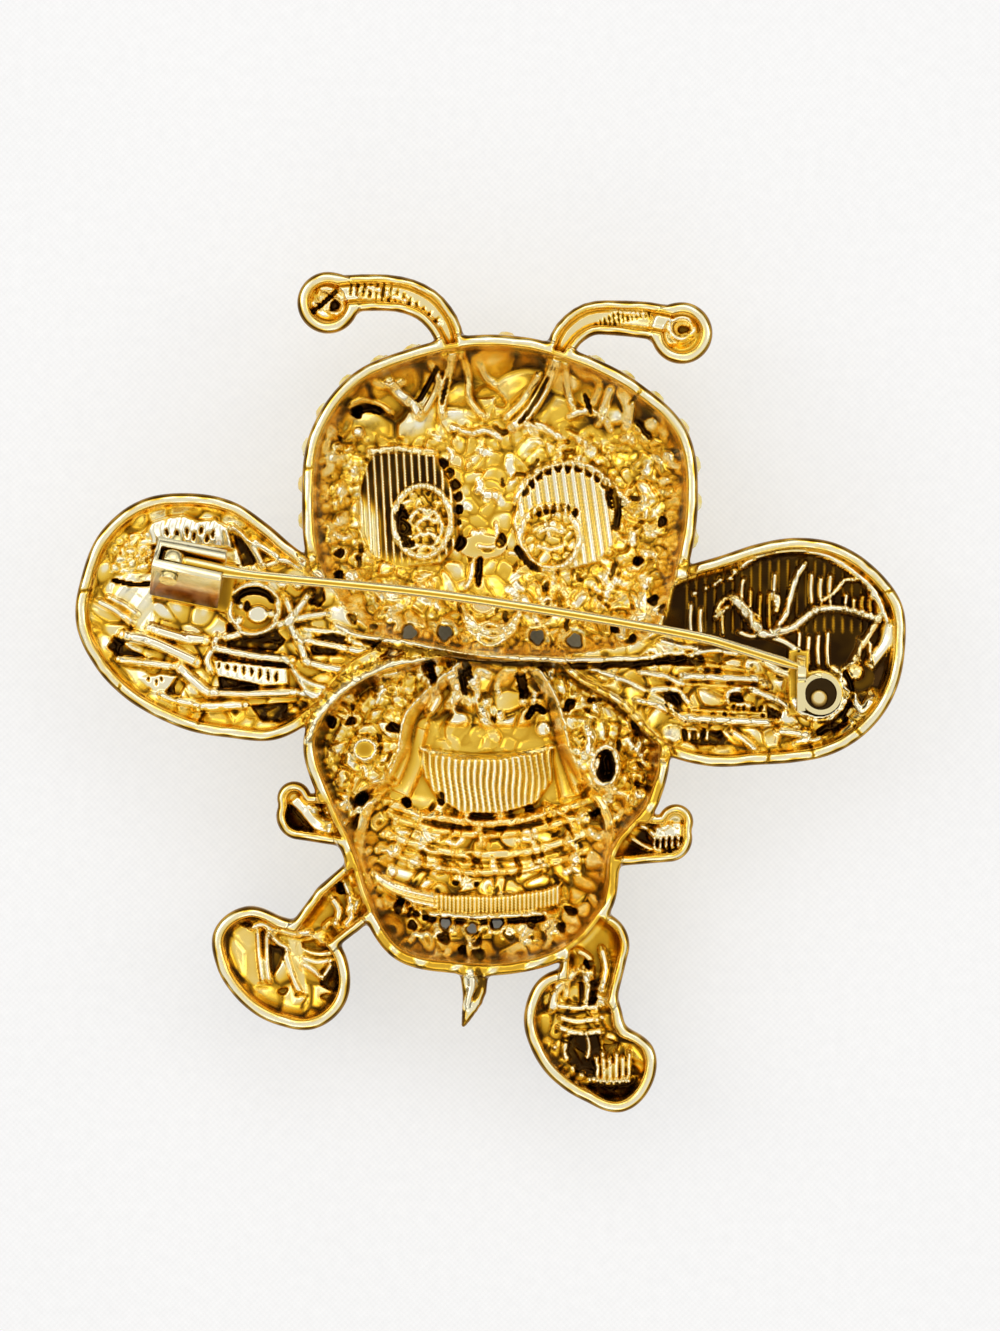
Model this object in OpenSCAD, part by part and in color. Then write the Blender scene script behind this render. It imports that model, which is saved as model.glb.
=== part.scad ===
// A bee brooch, cast hollow in one piece, lying face down with its back up.
// The front faces the ground, +Y is the way the antennae point.

/* [Head] */
// Half the width of the head
head_r = 12.4; // [10:0.1:14]
// Place of the head's middle, left or right of the brooch's middle
head_x = 0.44; // [-2:0.1:2]
// Place of the head's middle, above the brooch's middle
head_y = 11.93; // [10:0.1:13]
// Height of the head's back rim
head_top = 8.6; // [8:0.1:9]
// Depth of the head from its rim to its front
head_deep = 7.3; // [6:0.1:7.5]

/* [Body] */
// Half the width of the body
body_r = 10.6; // [9:0.1:12]
// How far the body's middle lies below the head's
body_drop = 18.8; // [17:0.1:20]
// How far the body's middle lies left of the head's
body_side = 0.8; // [0:0.1:1.5]
// Height of the body's back rim
body_top = 8.4; // [8:0.1:8.6]
// Depth of the body from its rim to its front
body_deep = 7.75; // [6:0.05:7.8]

/* [Wings] */
// Radius of the left wing's round end
left_wing_r = 8.44; // [7:0.1:9.5]
// Radius of the right wing's round end
right_wing_r = 8.19; // [7:0.1:9.5]
// How far the left wing's middle lies from the head's
left_wing_out = 18; // [16:0.1:20]
// How far the right wing's middle lies from the head's
right_wing_out = 17.3; // [16:0.1:20]
// How far the left wing's middle lies below the head's
left_wing_drop = 7.6; // [6:0.1:9]
// How far the right wing's middle lies below the head's
right_wing_drop = 9.35; // [8:0.1:11]
// Height of the wings' back rims
wing_top = 8; // [7.8:0.1:8.4]
// Depth of the wings
wing_deep = 2.6; // [2.2:0.1:3.2]

/* [Limbs] */
// Length of an antenna from the crown to its ball
antenna_l = 8; // [6:0.1:10]
// Radius of an antenna's stalk
antenna_w = 1.18; // [0.9:0.02:1.4]
// Radius of the ball on an antenna
ball_r = 1.95; // [1.6:0.05:2.4]
// Length of an arm
arm_l = 4; // [3:0.1:5]
// Radius of an arm
arm_w = 1.5; // [1.2:0.05:1.8]
// Length of a leg
leg_l = 4; // [3.6:0.1:4.6]
// Radius of a leg
leg_w = 1.9; // [1.6:0.05:2.2]
// Radius of a shoe
shoe_r = 4; // [3.4:0.1:4.6]
// Length of the sting
sting_l = 4; // [3:0.1:5]
// Radius of the sting at its root
sting_w = 1.05; // [0.8:0.05:1.3]
// Height of the back rims of arms, legs and antennae
limb_top = 7.6; // [7.2:0.1:8]
// Depth of the arms and legs
limb_deep = 2.6; // [2.2:0.1:3.2]
// Depth of an antenna's stalk
stalk_deep = 1.9; // [1.6:0.1:2.4]
// Depth of an antenna's ball
ball_deep = 3.2; // [2.8:0.1:3.6]
// Height of the shoes' back rims
shoe_top = 7.3; // [7:0.1:7.6]
// Depth of the shoes
shoe_deep = 3.1; // [2.6:0.1:3.6]

/* [Casting] */
// Width of the back rims
rim_w = 0.75; // [0.6:0.05:1]
// Thickness of the cast floors
floor_t = 0.9; // [0.7:0.05:1.2]
// Half the width of a vein on the wings
vein_w = 0.32; // [0.2:0.02:0.5]
// Height of the veins above the wings' floors
vein_h = 0.7; // [0.4:0.05:1]
// Radius of the small holes behind the stones
hole_r = 0.5; // [0.35:0.05:0.7]

/* [Stones and enamel] */
// Radius of a round stone
stone_r = 0.85; // [0.7:0.05:0.95]
// Distance between neighbouring stones
stone_pitch = 2.15; // [2.1:0.05:2.4]
// Height of a stone
stone_h = 0.55; // [0.4:0.05:0.7]
// Radius of the stone on an antenna's ball
tip_stone_r = 1.3; // [1:0.05:1.4]
// Thickness of the enamel
enamel_t = 0.45; // [0.3:0.05:0.6]
// Half the height of an eye
eye_r = 4; // [3.4:0.1:4.4]
// Half the height of a pupil
pupil_r = 2.9; // [2.2:0.1:3.1]
// Height of a pupil
pupil_h = 0.89; // [0.6:0.05:1]
// Half the width of the nose
nose_r = 1; // [0.8:0.05:1.3]
// Gap between a stone or enamel and its seat
seat_gap = 0.1; // [0.05:0.01:0.15]
// Thickness of the eyes at their edge
edge_t = 0.2; // [0.15:0.05:0.3]
// Height of the nose
nose_h = 0.9; // [0.6:0.05:1.2]
// How far stones stay off wings and antennae
stone_off = 0.3; // [0.2:0.05:0.6]

/* [Pin] */
// Radius of the pin's wire
stem_r = 0.31; // [0.25:0.01:0.4]
// How far the wire bows towards the head
stem_bow = 0.85; // [0.4:0.05:1.2]
// How far the wire arches away from the brooch
stem_arch = 1; // [0.5:0.1:1.5]
// Length of the wire's tapered point
point_l = 1.6; // [1.4:0.1:1.8]
// Height of the hinge's rivet
hinge_z = 9.35; // [9.2:0.05:9.6]
// Height of the wire's point
tip_z = 9.2; // [9:0.05:9.4]
// Lean of the hinge, which lets the point leave its hook sideways
hinge_lean = 28; // [24:1:32]
// Radius of the eye at the wire's end
eyelet_r = 0.75; // [0.65:0.05:0.85]
// Thickness of that eye
eyelet_t = 0.8; // [0.7:0.05:0.9]
// Radius of the rivet
rivet_r = 0.35; // [0.3:0.01:0.4]
// Gap between the rivet and the wire's eye
rivet_gap = 0.03; // [0.02:0.01:0.05]
// Length of the hinge's bracket
bracket_l = 4.4; // [4:0.1:5]
// Width of the hinge's bracket
bracket_w = 2.2; // [2:0.1:2.6]
// Gap on each side of the wire's eye
cheek_gap = 0.1; // [0.05:0.01:0.15]
// Thickness of the bracket's closed end
end_wall = 0.3; // [0.25:0.05:0.5]
// Radius of the catch's cup
cup_r = 1.3; // [1.1:0.05:1.5]
// Wall of the catch's cup
cup_wall = 0.3; // [0.25:0.01:0.4]
// Height of the catch's cup
cup_h = 1.8; // [1.4:0.1:2]
// Thickness of the catch's hook
hook_t = 0.5; // [0.4:0.05:0.6]
// Radius of the hook's round top
hook_head = 0.85; // [0.7:0.05:1]
// Width of the hook's foot towards the body
hook_foot = 2.6; // [2:0.1:3]
// Gap around the point in its hook
hook_gap = 0.12; // [0.1:0.01:0.15]

/* [Hidden] */
deep_round = 2.8;   // roundness of the head and the body, 2 is an ellipse
flat_round = 4;     // roundness of the wings and shoes, which have flat floors

// Outlines. Each row is [direction in degrees, radius as a share of the form's own radius].
head_shape = [[0, 1.01], [20, 1.02], [40, 0.93], [60, 0.86], [80, 0.84], [100, 0.85],
              [120, 0.89], [140, 0.98], [160, 1.01], [180, 0.99], [200, 1.01], [220, 1],
              [240, 0.88], [260, 0.84], [280, 0.85], [300, 0.95], [320, 1.1], [340, 1.02]];
body_shape = [[0, 1.03], [20, 1.15], [40, 1.12], [60, 1], [80, 0.95], [100, 0.95],
              [120, 1], [140, 1.11], [160, 1.14], [180, 0.98], [200, 0.9], [220, 0.97],
              [240, 1.07], [260, 1.03], [280, 1.03], [300, 1.04], [320, 0.98], [340, 0.87]];
left_wing_shape = [[0, 1.42], [20, 1], [40, 0.85], [60, 0.85], [80, 0.92], [100, 0.98],
                   [120, 1.05], [140, 1.06], [160, 1.02], [180, 1], [200, 0.92], [220, 0.85],
                   [240, 0.81], [260, 0.82], [280, 0.87], [300, 1], [320, 1.06], [340, 1.14]];
right_wing_shape = [[0, 1], [20, 1.04], [40, 1], [60, 0.95], [80, 0.88], [100, 0.83],
                    [120, 0.84], [140, 0.97], [160, 1.19], [180, 1.7], [200, 1.3], [220, 1.18],
                    [240, 1.02], [260, 0.89], [280, 0.87], [300, 0.91], [320, 0.95], [340, 0.98]];
left_shoe_shape = [[0, 1.08], [30, 0.97], [60, 0.81], [90, 0.81], [120, 1.11], [150, 1.2],
                   [180, 1], [210, 0.86], [240, 0.84], [270, 0.92], [300, 1.11], [330, 1.17]];
right_shoe_shape = [[0, 1.06], [30, 0.73], [60, 0.94], [90, 1.23], [120, 1.34], [150, 1.14],
                    [180, 0.88], [210, 0.75], [240, 0.73], [270, 0.84], [300, 1.14], [330, 1.17]];
round_shape = [[0, 1], [90, 1], [180, 1], [270, 1]];

// Limbs. Each row is [along x, along y, radius], as shares of the limb's length and radius.
left_antenna_path = [[0, 0, 0.75], [-0.07, 0.18, 0.85], [-0.21, 0.33, 0.92],
                     [-0.42, 0.41, 0.97], [-0.7, 0.42, 1], [-0.9, 0.4, 1]];
right_antenna_path = [[0, 0, 0.75], [0.09, 0.16, 0.85], [0.25, 0.27, 0.9],
                      [0.45, 0.28, 0.95], [0.7, 0.26, 1], [0.9, 0.22, 1]];
left_arm_path = [[0, 0, 1.08], [-0.84, 0.1, 1], [-0.93, 0.38, 0.72]];
right_arm_path = [[0, 0, 1.12], [0.8, 0.02, 1], [0.91, 0.28, 0.75]];
left_leg_path = [[0, 0, 1], [-0.42, -0.36, 1], [-0.9, -0.85, 0.8]];
right_leg_path = [[0, 0, 1], [0.23, -0.27, 1.14], [0.12, -1, 1]];
sting_path = [[0, 0.2, 1], [0.03, -0.42, 0.75], [-0.07, -0.78, 0.4], [-0.14, -0.97, 0.15]];

// Veins. Each row is [start x, start y, end x, end y], as shares of the wing's radius.
left_veins = [[-0.24, -0.52, 0.38, -0.62], [0.38, -0.62, 0.72, -0.4], [0.03, -0.1, 0.59, -0.28],
              [0.59, -0.28, 1.15, -0.24], [0.45, 0.02, 0.72, -0.4], [-0.66, 0.08, -0.24, -0.52],
              [-0.66, 0.08, 0.03, -0.1], [-0.66, 0.08, -0.72, 0.6], [0.03, -0.1, 0.28, 0.62]];
right_veins = [[-0.34, 0.44, -0.12, 0.14], [-0.12, 0.14, 0.3, 0.3], [0.3, 0.3, 0.76, 0.23],
               [0.1, 0.5, 0.24, 0.7], [0.3, 0.3, 0.16, 0.66], [-0.12, 0.14, 0.02, -0.3],
               [-0.95, -0.2, 0.02, -0.3], [0.02, -0.3, 0.64, -0.1], [-0.7, -0.52, 0.02, -0.56]];

// Stone rows of the head: [depth down the dome in degrees, first stone's direction].
head_rows = [[9, 0], [27, 5], [43, 0], [57, 8], [69, 0], [80, 20]];
// Stone rows of the body: [height above the body's middle, half the row's width, sag at its ends],
// as shares of the body's radius.
thorax_rows = [[0.68, 0.62, 0.02], [0.47, 0.74, 0.03]];
belly_rows = [[-0.2, 0.78, -0.16], [-0.41, 0.76, -0.2], [-0.85, 0.6, -0.24]];
// Enamel bands: [top edge, bottom edge, half width, rise at the ends], as shares of the same radius.
upper_band_place = [0.36, -0.07, 0.5, 0.04];
lower_band_place = [-0.53, -0.73, 0.68, 0.2];
// Holes through the casting: [x, y] as shares of the head's radius from its middle.
chin_holes = [[-0.45, -0.66], [-0.27, -0.66], [0.2, -0.68], [0.39, -0.7]];
// Holes through the belly, as shares of the body's radius from its middle.
belly_holes = [[-0.24, -0.74], [-0.08, -0.77], [0.07, -0.74]];
// The wire's bends: [share of its run, bow share, arch share].
stem_bends = [[0, 0, 0], [0.1, -0.17, 0.08], [0.435, 0.86, 1], [0.84, 0.98, 0.75], [1, 0, 0]];

// A smooth curve through four values.
function blend(a, b, c, d, t) =
    (2 * b + (c - a) * t + (2 * a - 5 * b + 4 * c - d) * pow(t, 2) + (3 * b - a - 3 * c + d) * pow(t, 3)) / 2;
function share_at(shape, angle) =
    let (n = len(shape), u = (angle / 360 - floor(angle / 360)) * n, i = floor(u))
    blend(shape[(i + n - 1) % n][1], shape[i % n][1], shape[(i + 1) % n][1], shape[(i + 2) % n][1], u - i);

// A form is [middle, radius, outline, back rim height, depth, roundness].
head_mid = [head_x, head_y];
body_mid = head_mid - [body_side, body_drop];
left_wing_mid = head_mid - [left_wing_out, left_wing_drop];
right_wing_mid = head_mid + [right_wing_out, -right_wing_drop];
head = [head_mid, head_r, head_shape, head_top, head_deep, deep_round];
body = [body_mid, body_r, body_shape, body_top, body_deep, deep_round];
left_wing = [left_wing_mid, left_wing_r, left_wing_shape, wing_top, wing_deep, flat_round];
right_wing = [right_wing_mid, right_wing_r, right_wing_shape, wing_top, wing_deep, flat_round];

// Points on and in a form.
function rim_r(form, angle) = form[1] * share_at(form[2], angle);
function on_rim(form, angle, inset = 0) = form[0] + (rim_r(form, angle) - inset) * [cos(angle), sin(angle)];
function angle_to(form, p) = atan2(p[1] - form[0][1], p[0] - form[0][0]);
function share_out(form, p) = min(0.999, norm(p - form[0]) / rim_r(form, angle_to(form, p)));
function front_z(form, p) =
    form[3] - form[4] * pow(1 - pow(share_out(form, p), form[5]), 1 / form[5]);
function floor_z(form) = form[3] - form[4] + floor_t;
function skin(form, angle, tilt, inset = 0, thick = 0) =
    let (xy = on_rim(form, angle, inset) - form[0],
         s = pow(cos(tilt), 2 / form[5]), d = pow(sin(tilt), 2 / form[5]))
    [form[0][0] + s * xy[0], form[0][1] + s * xy[1], form[3] - (form[4] - thick) * d];
function inside(form, p, margin) = norm(p - form[0]) < rim_r(form, angle_to(form, p)) + margin;

antenna_inset = 0.5;
left_antenna_root = on_rim(head, 106.5, antenna_inset);
right_antenna_root = on_rim(head, 68, antenna_inset);
left_arm_root = on_rim(body, 189, arm_w);
right_arm_root = on_rim(body, 344, arm_w / 2);
left_leg_root = on_rim(body, 215, leg_w / 2);
right_leg_root = on_rim(body, 307, leg_w / 2);
sting_root = on_rim(body, 265.5, rim_w);
left_ball_mid = left_antenna_root + antenna_l * [-0.97, 0.34];
right_ball_mid = right_antenna_root + antenna_l * [0.97, 0.16];
left_ball = [left_ball_mid, ball_r, round_shape, limb_top + 0.2, ball_deep, deep_round];
right_ball = [right_ball_mid, ball_r, round_shape, limb_top + 0.2, ball_deep, deep_round];
left_shoe = [left_leg_root + leg_l * [-1.35, -1.3], shoe_r, left_shoe_shape, shoe_top, shoe_deep, flat_round];
right_shoe = [right_leg_root + leg_l * [0.1, -1.9], shoe_r, right_shoe_shape, shoe_top, shoe_deep, flat_round];

// A dome hanging down from its flat rim. Lift raises the rim, so that a hollow cuts cleanly.
// Every second ring is turned by half a step, so that no two facets lie in one plane.
module dome(form, inset = 0, thick = 0, rings = 6, spokes = 36, lift = 0) {
    step = 360 / spokes;
    ring_points = [for (k = [0 : rings - 1]) for (i = [0 : spokes - 1])
        skin(form, (i + (k % 2) / 2) * step, k * 90 / rings, inset, thick)];
    lifted = [for (i = [0 : len(ring_points) - 1]) i < spokes ? ring_points[i] + [0, 0, lift] : ring_points[i]];
    tip = [[form[0][0], form[0][1], form[3] - form[4] + thick]];
    last = (rings - 1) * spokes;
    polyhedron(
        concat(lifted, tip),
        concat(
            [[for (i = [spokes - 1 : -1 : 0]) i]],
            [for (k = [0 : rings - 2]) for (i = [0 : spokes - 1])
                let (a = k * spokes + i, b = k * spokes + (i + 1) % spokes, c = k % 2 == 0 ? a : b)
                each [[a, b, c + spokes], c == a ? [b, b + spokes, a + spokes] : [a, b + spokes, a + spokes]]],
            [for (i = [0 : spokes - 1]) [last + i, last + (i + 1) % spokes, len(lifted)]]
        ), convexity = 6);
}

// The straight upright column over a form's outline.
module column(form, inset = 0, low = -1, high = 12, spokes = 36)
    translate([0, 0, low])
        linear_extrude(high - low)
            polygon([for (i = [0 : spokes - 1]) on_rim(form, i * 360 / spokes, inset)]);

// A half-round bar along a limb's path, flat at the top.
function path_at(path, u) =
    let (n = len(path) - 1, i = min(floor(u), n - 1), t = u - i,
         a = path[max(i - 1, 0)], d = path[min(i + 2, n)])
    [for (c = [0 : 2]) blend(a[c], path[i][c], path[i + 1][c], d[c], t)];
module limb(root, path, length, width, deep, inset = 0, lift = 0, sides = 5, per_bend = 2) {
    n = (len(path) - 1) * per_bend;
    sections = [for (j = [0 : n]) path_at(path, j / per_bend)];
    points = [for (j = [0 : n])
        let (ahead = sections[min(j + 1, n)] - sections[max(j - 1, 0)],
             side = [-ahead[1], ahead[0]] / norm([ahead[0], ahead[1]]),
             mid = root + length * [sections[j][0], sections[j][1]],
             r = max(width * sections[j][2] - inset, 0.02))
        for (k = [0 : sides])
            let (a = 180 * k / sides, xy = mid + r * cos(a) * side, edge = k == 0 || k == sides)
            [xy[0], xy[1], limb_top + (edge ? lift : -deep * min(1, r / (width - inset)) * pow(sin(a), 0.7))]];
    m = sides + 1;
    polyhedron(points, concat(
        [[for (k = [sides : -1 : 0]) k]], [[for (k = [0 : sides]) n * m + k]],
        [for (j = [0 : n - 1]) for (k = [0 : sides]) let (a = j * m + k, b = j * m + (k + 1) % m)
            each [[a, b + m, a + m], [a, b, b + m]]]), convexity = 6);
}
// A short thick limb is a chain of bowls, each pair of them wrapped together.
module bowl(root, row, length, width, inset, lift, thick)
    dome([root + length * [row[0], row[1]], width * row[2], round_shape, limb_top, limb_deep, deep_round],
         inset, thick, 3, 12, lift);
module stub(root, path, length, width, inset = 0, lift = 0, thick = 0)
    for (i = [0 : len(path) - 2])
        hull() {
            bowl(root, path[i], length, width, inset, lift, thick);
            bowl(root, path[i + 1], length, width, inset, lift, thick);
        }
module limbs(inset = 0, lift = 0, thick = 0) {
    limb(left_antenna_root, left_antenna_path, antenna_l, antenna_w, stalk_deep - thick, inset, lift);
    limb(right_antenna_root, right_antenna_path, antenna_l, antenna_w, stalk_deep - thick, inset, lift);
    stub(left_arm_root, left_arm_path, arm_l, arm_w, inset, lift, thick);
    stub(right_arm_root, right_arm_path, arm_l, arm_w, inset, lift, thick);
    stub(left_leg_root, left_leg_path, leg_l, leg_w, inset, lift, thick);
    stub(right_leg_root, right_leg_path, leg_l, leg_w, inset, lift, thick);
}
module end_forms(inset = 0, lift = 0, thick = 0) {
    for (form = [left_ball, right_ball]) dome(form, inset, thick, 3, 12, lift);
    for (form = [left_shoe, right_shoe]) dome(form, inset, thick, 3, 20, lift);
}

// A vein stands on the wing's floor.
module vein(wing, row) {
    from = wing[0] + wing[1] * [row[0], row[1]];
    to = wing[0] + wing[1] * [row[2], row[3]];
    root = floor_t / 2;
    hull()
        for (p = [from, to])
            translate([p[0], p[1], floor_z(wing) - root])
                cylinder(h = root + vein_h, r1 = vein_w, r2 = vein_w * 0.6, $fn = 6);
}
module veins() {
    for (row = left_veins) vein(left_wing, row);
    for (row = right_veins) vein(right_wing, row);
}

// Seats under the hinge and the catch, just above the veins.
pad_top = wing_top - wing_deep + floor_t + vein_h + seat_gap / 2;
hinge_mid = left_wing_mid + left_wing_r * [-0.267, 0.459];
tip_mid = right_wing_mid + right_wing_r * [0.232, -0.14];
cup_mid = tip_mid + cup_r * [0.72, -1.19];
bracket_turn = -11.8;
lean_shift = (hinge_z - pad_top) * tan(hinge_lean);
pad_edge = 0.4;
module pads() {
    foot = hinge_mid + [(bracket_l / 2 - 1) * cos(bracket_turn), -lean_shift - pad_edge];
    translate([foot[0], foot[1], pad_top - floor_t])
        rotate(bracket_turn)
            translate([-(bracket_l + pad_edge) / 2, -bracket_w / 2 - pad_edge, 0])
                cube([bracket_l + pad_edge, bracket_w + 2 * pad_edge, floor_t]);
    translate([cup_mid[0] - pad_edge, cup_mid[1] + pad_edge, pad_top - floor_t])
        cylinder(h = floor_t, r = cup_r + 2 * pad_edge, $fn = 16);
}

// Knobs behind the stones, on the floor of the head and the body.
knob_r = 0.5;
module knob(form, angle, tilt) {
    p = skin(form, angle, tilt, rim_w, floor_t);
    sunk = 0.4 * knob_r;
    translate([p[0], p[1], p[2] - sunk])
        cylinder(h = sunk + 0.8 * knob_r, r1 = knob_r, r2 = 0.45 * knob_r, $fn = 4);
}
module knobs() {
    for (row = head_rows)
        if (row[0] > 20) {
            n = floor(2 * PI * head_r * pow(cos(row[0]), 2 / deep_round) / (stone_pitch * 1.15));
            for (i = [0 : n - 1]) {
                p = skin(head, i * 360 / n + row[1], row[0], rim_w, floor_t);
                if (!in_face([p[0], p[1]], knob_r)) knob(head, i * 360 / n + row[1], row[0]);
            }
        }
}

// The face. Eyes and pupils are ovals: [middle, half width, half height].
left_eye_oval = [head_mid + head_r * [-0.468, -0.056], eye_r * 0.78, eye_r];
right_eye_oval = [head_mid + head_r * [0.323, -0.105], eye_r * 0.82, eye_r * 1.04];
left_pupil_oval = [head_mid + head_r * [-0.403, -0.137], pupil_r * 0.7, pupil_r];
right_pupil_oval = [head_mid + head_r * [0.29, -0.194], pupil_r * 0.74, pupil_r * 0.9];
nose_oval = [head_mid + head_r * [-0.089, -0.5], nose_r, nose_r * 0.8];
function in_oval(oval, p, margin) =
    pow((p[0] - oval[0][0]) / (oval[1] + margin), 2) + pow((p[1] - oval[0][1]) / (oval[2] + margin), 2) < 1;
function in_face(p, margin) =
    in_oval(left_eye_oval, p, margin) || in_oval(right_eye_oval, p, margin) || in_oval(nose_oval, p, margin);

// A low ring round an eye, on the floor of the head.
ring_w = 0.32;
module eye_ring(oval)
    intersection() {
        dome(head, rim_w / 2, floor_t / 2);
        translate([oval[0][0], oval[0][1], floor_z(head) - ring_w])
            linear_extrude(3 * ring_w)
                difference() {
                    scale([oval[1] + ring_w, oval[2] + ring_w]) circle(r = 1, $fn = 20);
                    scale([oval[1] - ring_w / 2, oval[2] - ring_w / 2]) circle(r = 1, $fn = 20);
                }
    }

module casting() color("goldenrod") {
    difference() {
        union() {
            dome(head, rings = 6, spokes = 36);
            dome(body, rings = 6, spokes = 36);
            dome(left_wing, rings = 4, spokes = 36);
            dome(right_wing, rings = 4, spokes = 36);
            limbs();
            end_forms();
            limb(sting_root, sting_path, sting_l, sting_w, 1.5);
        }
        difference() {
            dome(body, rim_w, floor_t, 6, 36, 1);
            column(head, rim_w / 2);
            column(left_wing, rim_w / 2);
            column(right_wing, rim_w / 2);
        }
        dome(head, rim_w, floor_t, 6, 36, 1);
        dome(left_wing, rim_w, floor_t, 4, 36, 1);
        dome(right_wing, rim_w, floor_t, 4, 36, 1);
        difference() {
            union() {
                limbs(rim_w * 0.8, 1, floor_t);
                end_forms(rim_w, 1, floor_t);
            }
            column(body, rim_w / 2);
            column(head, rim_w / 2);
        }
        for (h = chin_holes)
            translate([head_x + head_r * h[0], head_y + head_r * h[1], -1])
                cylinder(h = 10, r = hole_r, $fn = 8);
        for (h = belly_holes)
            translate([body_mid[0] + body_r * h[0], body_mid[1] + body_r * h[1], -1])
                cylinder(h = 10, r = hole_r * 0.7, $fn = 8);
    }
    intersection() {
        veins();
        union() {
            column(left_wing, rim_w / 2);
            column(right_wing, rim_w / 2);
        }
    }
    pads();
    knobs();
    eye_ring(left_eye_oval);
    eye_ring(right_eye_oval);
}

// A cut stone lies on its flat back, its table away from the seat.
module stone(r, h) {
    n = 8;
    table = 0.55 * r;
    round = [for (i = [0 : n - 1]) [cos(i * 360 / n), sin(i * 360 / n)]];
    polyhedron(
        concat([for (q = round) [r * q[0], r * q[1], 0]], [for (q = round) [table * q[0], table * q[1], -h]]),
        concat([[for (i = [n - 1 : -1 : 0]) i]], [[for (i = [0 : n - 1]) n + i]],
               [for (i = [0 : n - 1]) [i, (i + 1) % n, n + (i + 1) % n, n + i]]));
}
// Lays a stone on a form's front at a point of the plan.
module stone_on(form, p, r, h) {
    e = 0.3;
    zx = (front_z(form, p + [e, 0]) - front_z(form, p - [e, 0])) / (2 * e);
    zy = (front_z(form, p + [0, e]) - front_z(form, p - [0, e])) / (2 * e);
    slope = atan(norm([zx, zy]));
    translate([p[0], p[1], front_z(form, p)])
        rotate([0, 0, atan2(zy, zx)])
            rotate([0, -slope, 0])
                translate([0, 0, -seat_gap])
                    stone(r, h);
}
module head_stones() color("khaki")
    for (row = head_rows) {
        s = pow(cos(row[0]), 2 / deep_round);
        n = floor(2 * PI * head_r * 0.93 * s / stone_pitch);
        for (i = [0 : n - 1]) {
            p3 = skin(head, i * 360 / n + row[1], row[0]);
            p = [p3[0], p3[1]];
            off = stone_r + stone_off;
            clear = !in_face(p, stone_r + 2 * seat_gap) && !inside(body, p, off)
                 && !inside(left_wing, p, off) && !inside(right_wing, p, off)
                 && norm(p - left_antenna_root) > antenna_w + off
                 && norm(p - right_antenna_root) > antenna_w + off
                 && !(row[0] < 20 && abs(i * 360 / n + row[1] - 270) < 70);
            if (clear) stone_on(head, p, stone_r, stone_h);
        }
    }
module stone_rows(rows)
    for (row = rows) {
        half = floor(body_r * row[1] / stone_pitch);
        for (i = [-half : half]) {
            x = i * stone_pitch;
            p = body_mid + [x, body_r * (row[0] - row[2] * pow(x / (body_r * row[1]), 2))];
            if (!inside(head, p, stone_r + stone_off) && inside(body, p, -rim_w))
                stone_on(body, p, stone_r, stone_h);
        }
    }
module thorax_stones() color("khaki") stone_rows(thorax_rows);
module belly_stones() color("khaki") stone_rows(belly_rows);
module left_tip_stone() color("khaki") stone_on(left_ball, left_ball_mid, tip_stone_r, stone_h * 1.3);
module right_tip_stone() color("khaki") stone_on(right_ball, right_ball_mid, tip_stone_r, stone_h * 1.3);

// Faces of a round patch: the rings of its seat, the rings of its face, then the two middles.
function patch_faces(rings, spokes) =
    let (m = rings * spokes)
    concat(
        [for (i = [0 : spokes - 1])
            let (j = (i + 1) % spokes)
            each [[2 * m, j, i], [2 * m + 1, m + i, m + j]]],
        [for (k = [0 : rings - 2]) for (i = [0 : spokes - 1])
            let (a = k * spokes + i, b = k * spokes + (i + 1) % spokes)
            each [[a, b, b + spokes], [a, b + spokes, a + spokes],
                  [m + a, m + b + spokes, m + b], [m + a, m + a + spokes, m + b + spokes]]],
        [for (i = [0 : spokes - 1])
            let (a = m - spokes + i, b = m - spokes + (i + 1) % spokes)
            each [[a, b, m + b], [a, m + b, m + a]]]);

// An oval of enamel that follows a form's front: thin at its edge and thicker in the middle.
module oval_on(form, oval, drop, thin, thick, rings = 3, spokes = 20) {
    ring = function (k, i) let (s = k / rings, a = i * 360 / spokes)
        oval[0] + s * [oval[1] * cos(a), oval[2] * sin(a)];
    seat = function (p) [p[0], p[1], front_z(form, p) - drop];
    top = [for (k = [1 : rings]) for (i = [0 : spokes - 1]) seat(ring(k, i))];
    low = [for (k = [1 : rings]) for (i = [0 : spokes - 1])
        seat(ring(k, i)) - [0, 0, thick - (thick - thin) * pow(k / rings, 2)]];
    mids = [seat(oval[0]), seat(oval[0]) - [0, 0, thick]];
    polyhedron(concat(top, low, mids), patch_faces(rings, spokes), convexity = 4);
}
module left_eye() color("white") oval_on(head, left_eye_oval, seat_gap, edge_t, enamel_t);
module right_eye() color("white") oval_on(head, right_eye_oval, seat_gap, edge_t, enamel_t);
pupil_drop = 2 * seat_gap + enamel_t;
module left_pupil() color("black") oval_on(head, left_pupil_oval, pupil_drop, edge_t, pupil_h, 2);
module right_pupil() color("black") oval_on(head, right_pupil_oval, pupil_drop, edge_t, pupil_h, 2);
module nose() color("black") oval_on(head, nose_oval, seat_gap, 1.5 * edge_t, nose_h, 2, 12);

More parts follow.
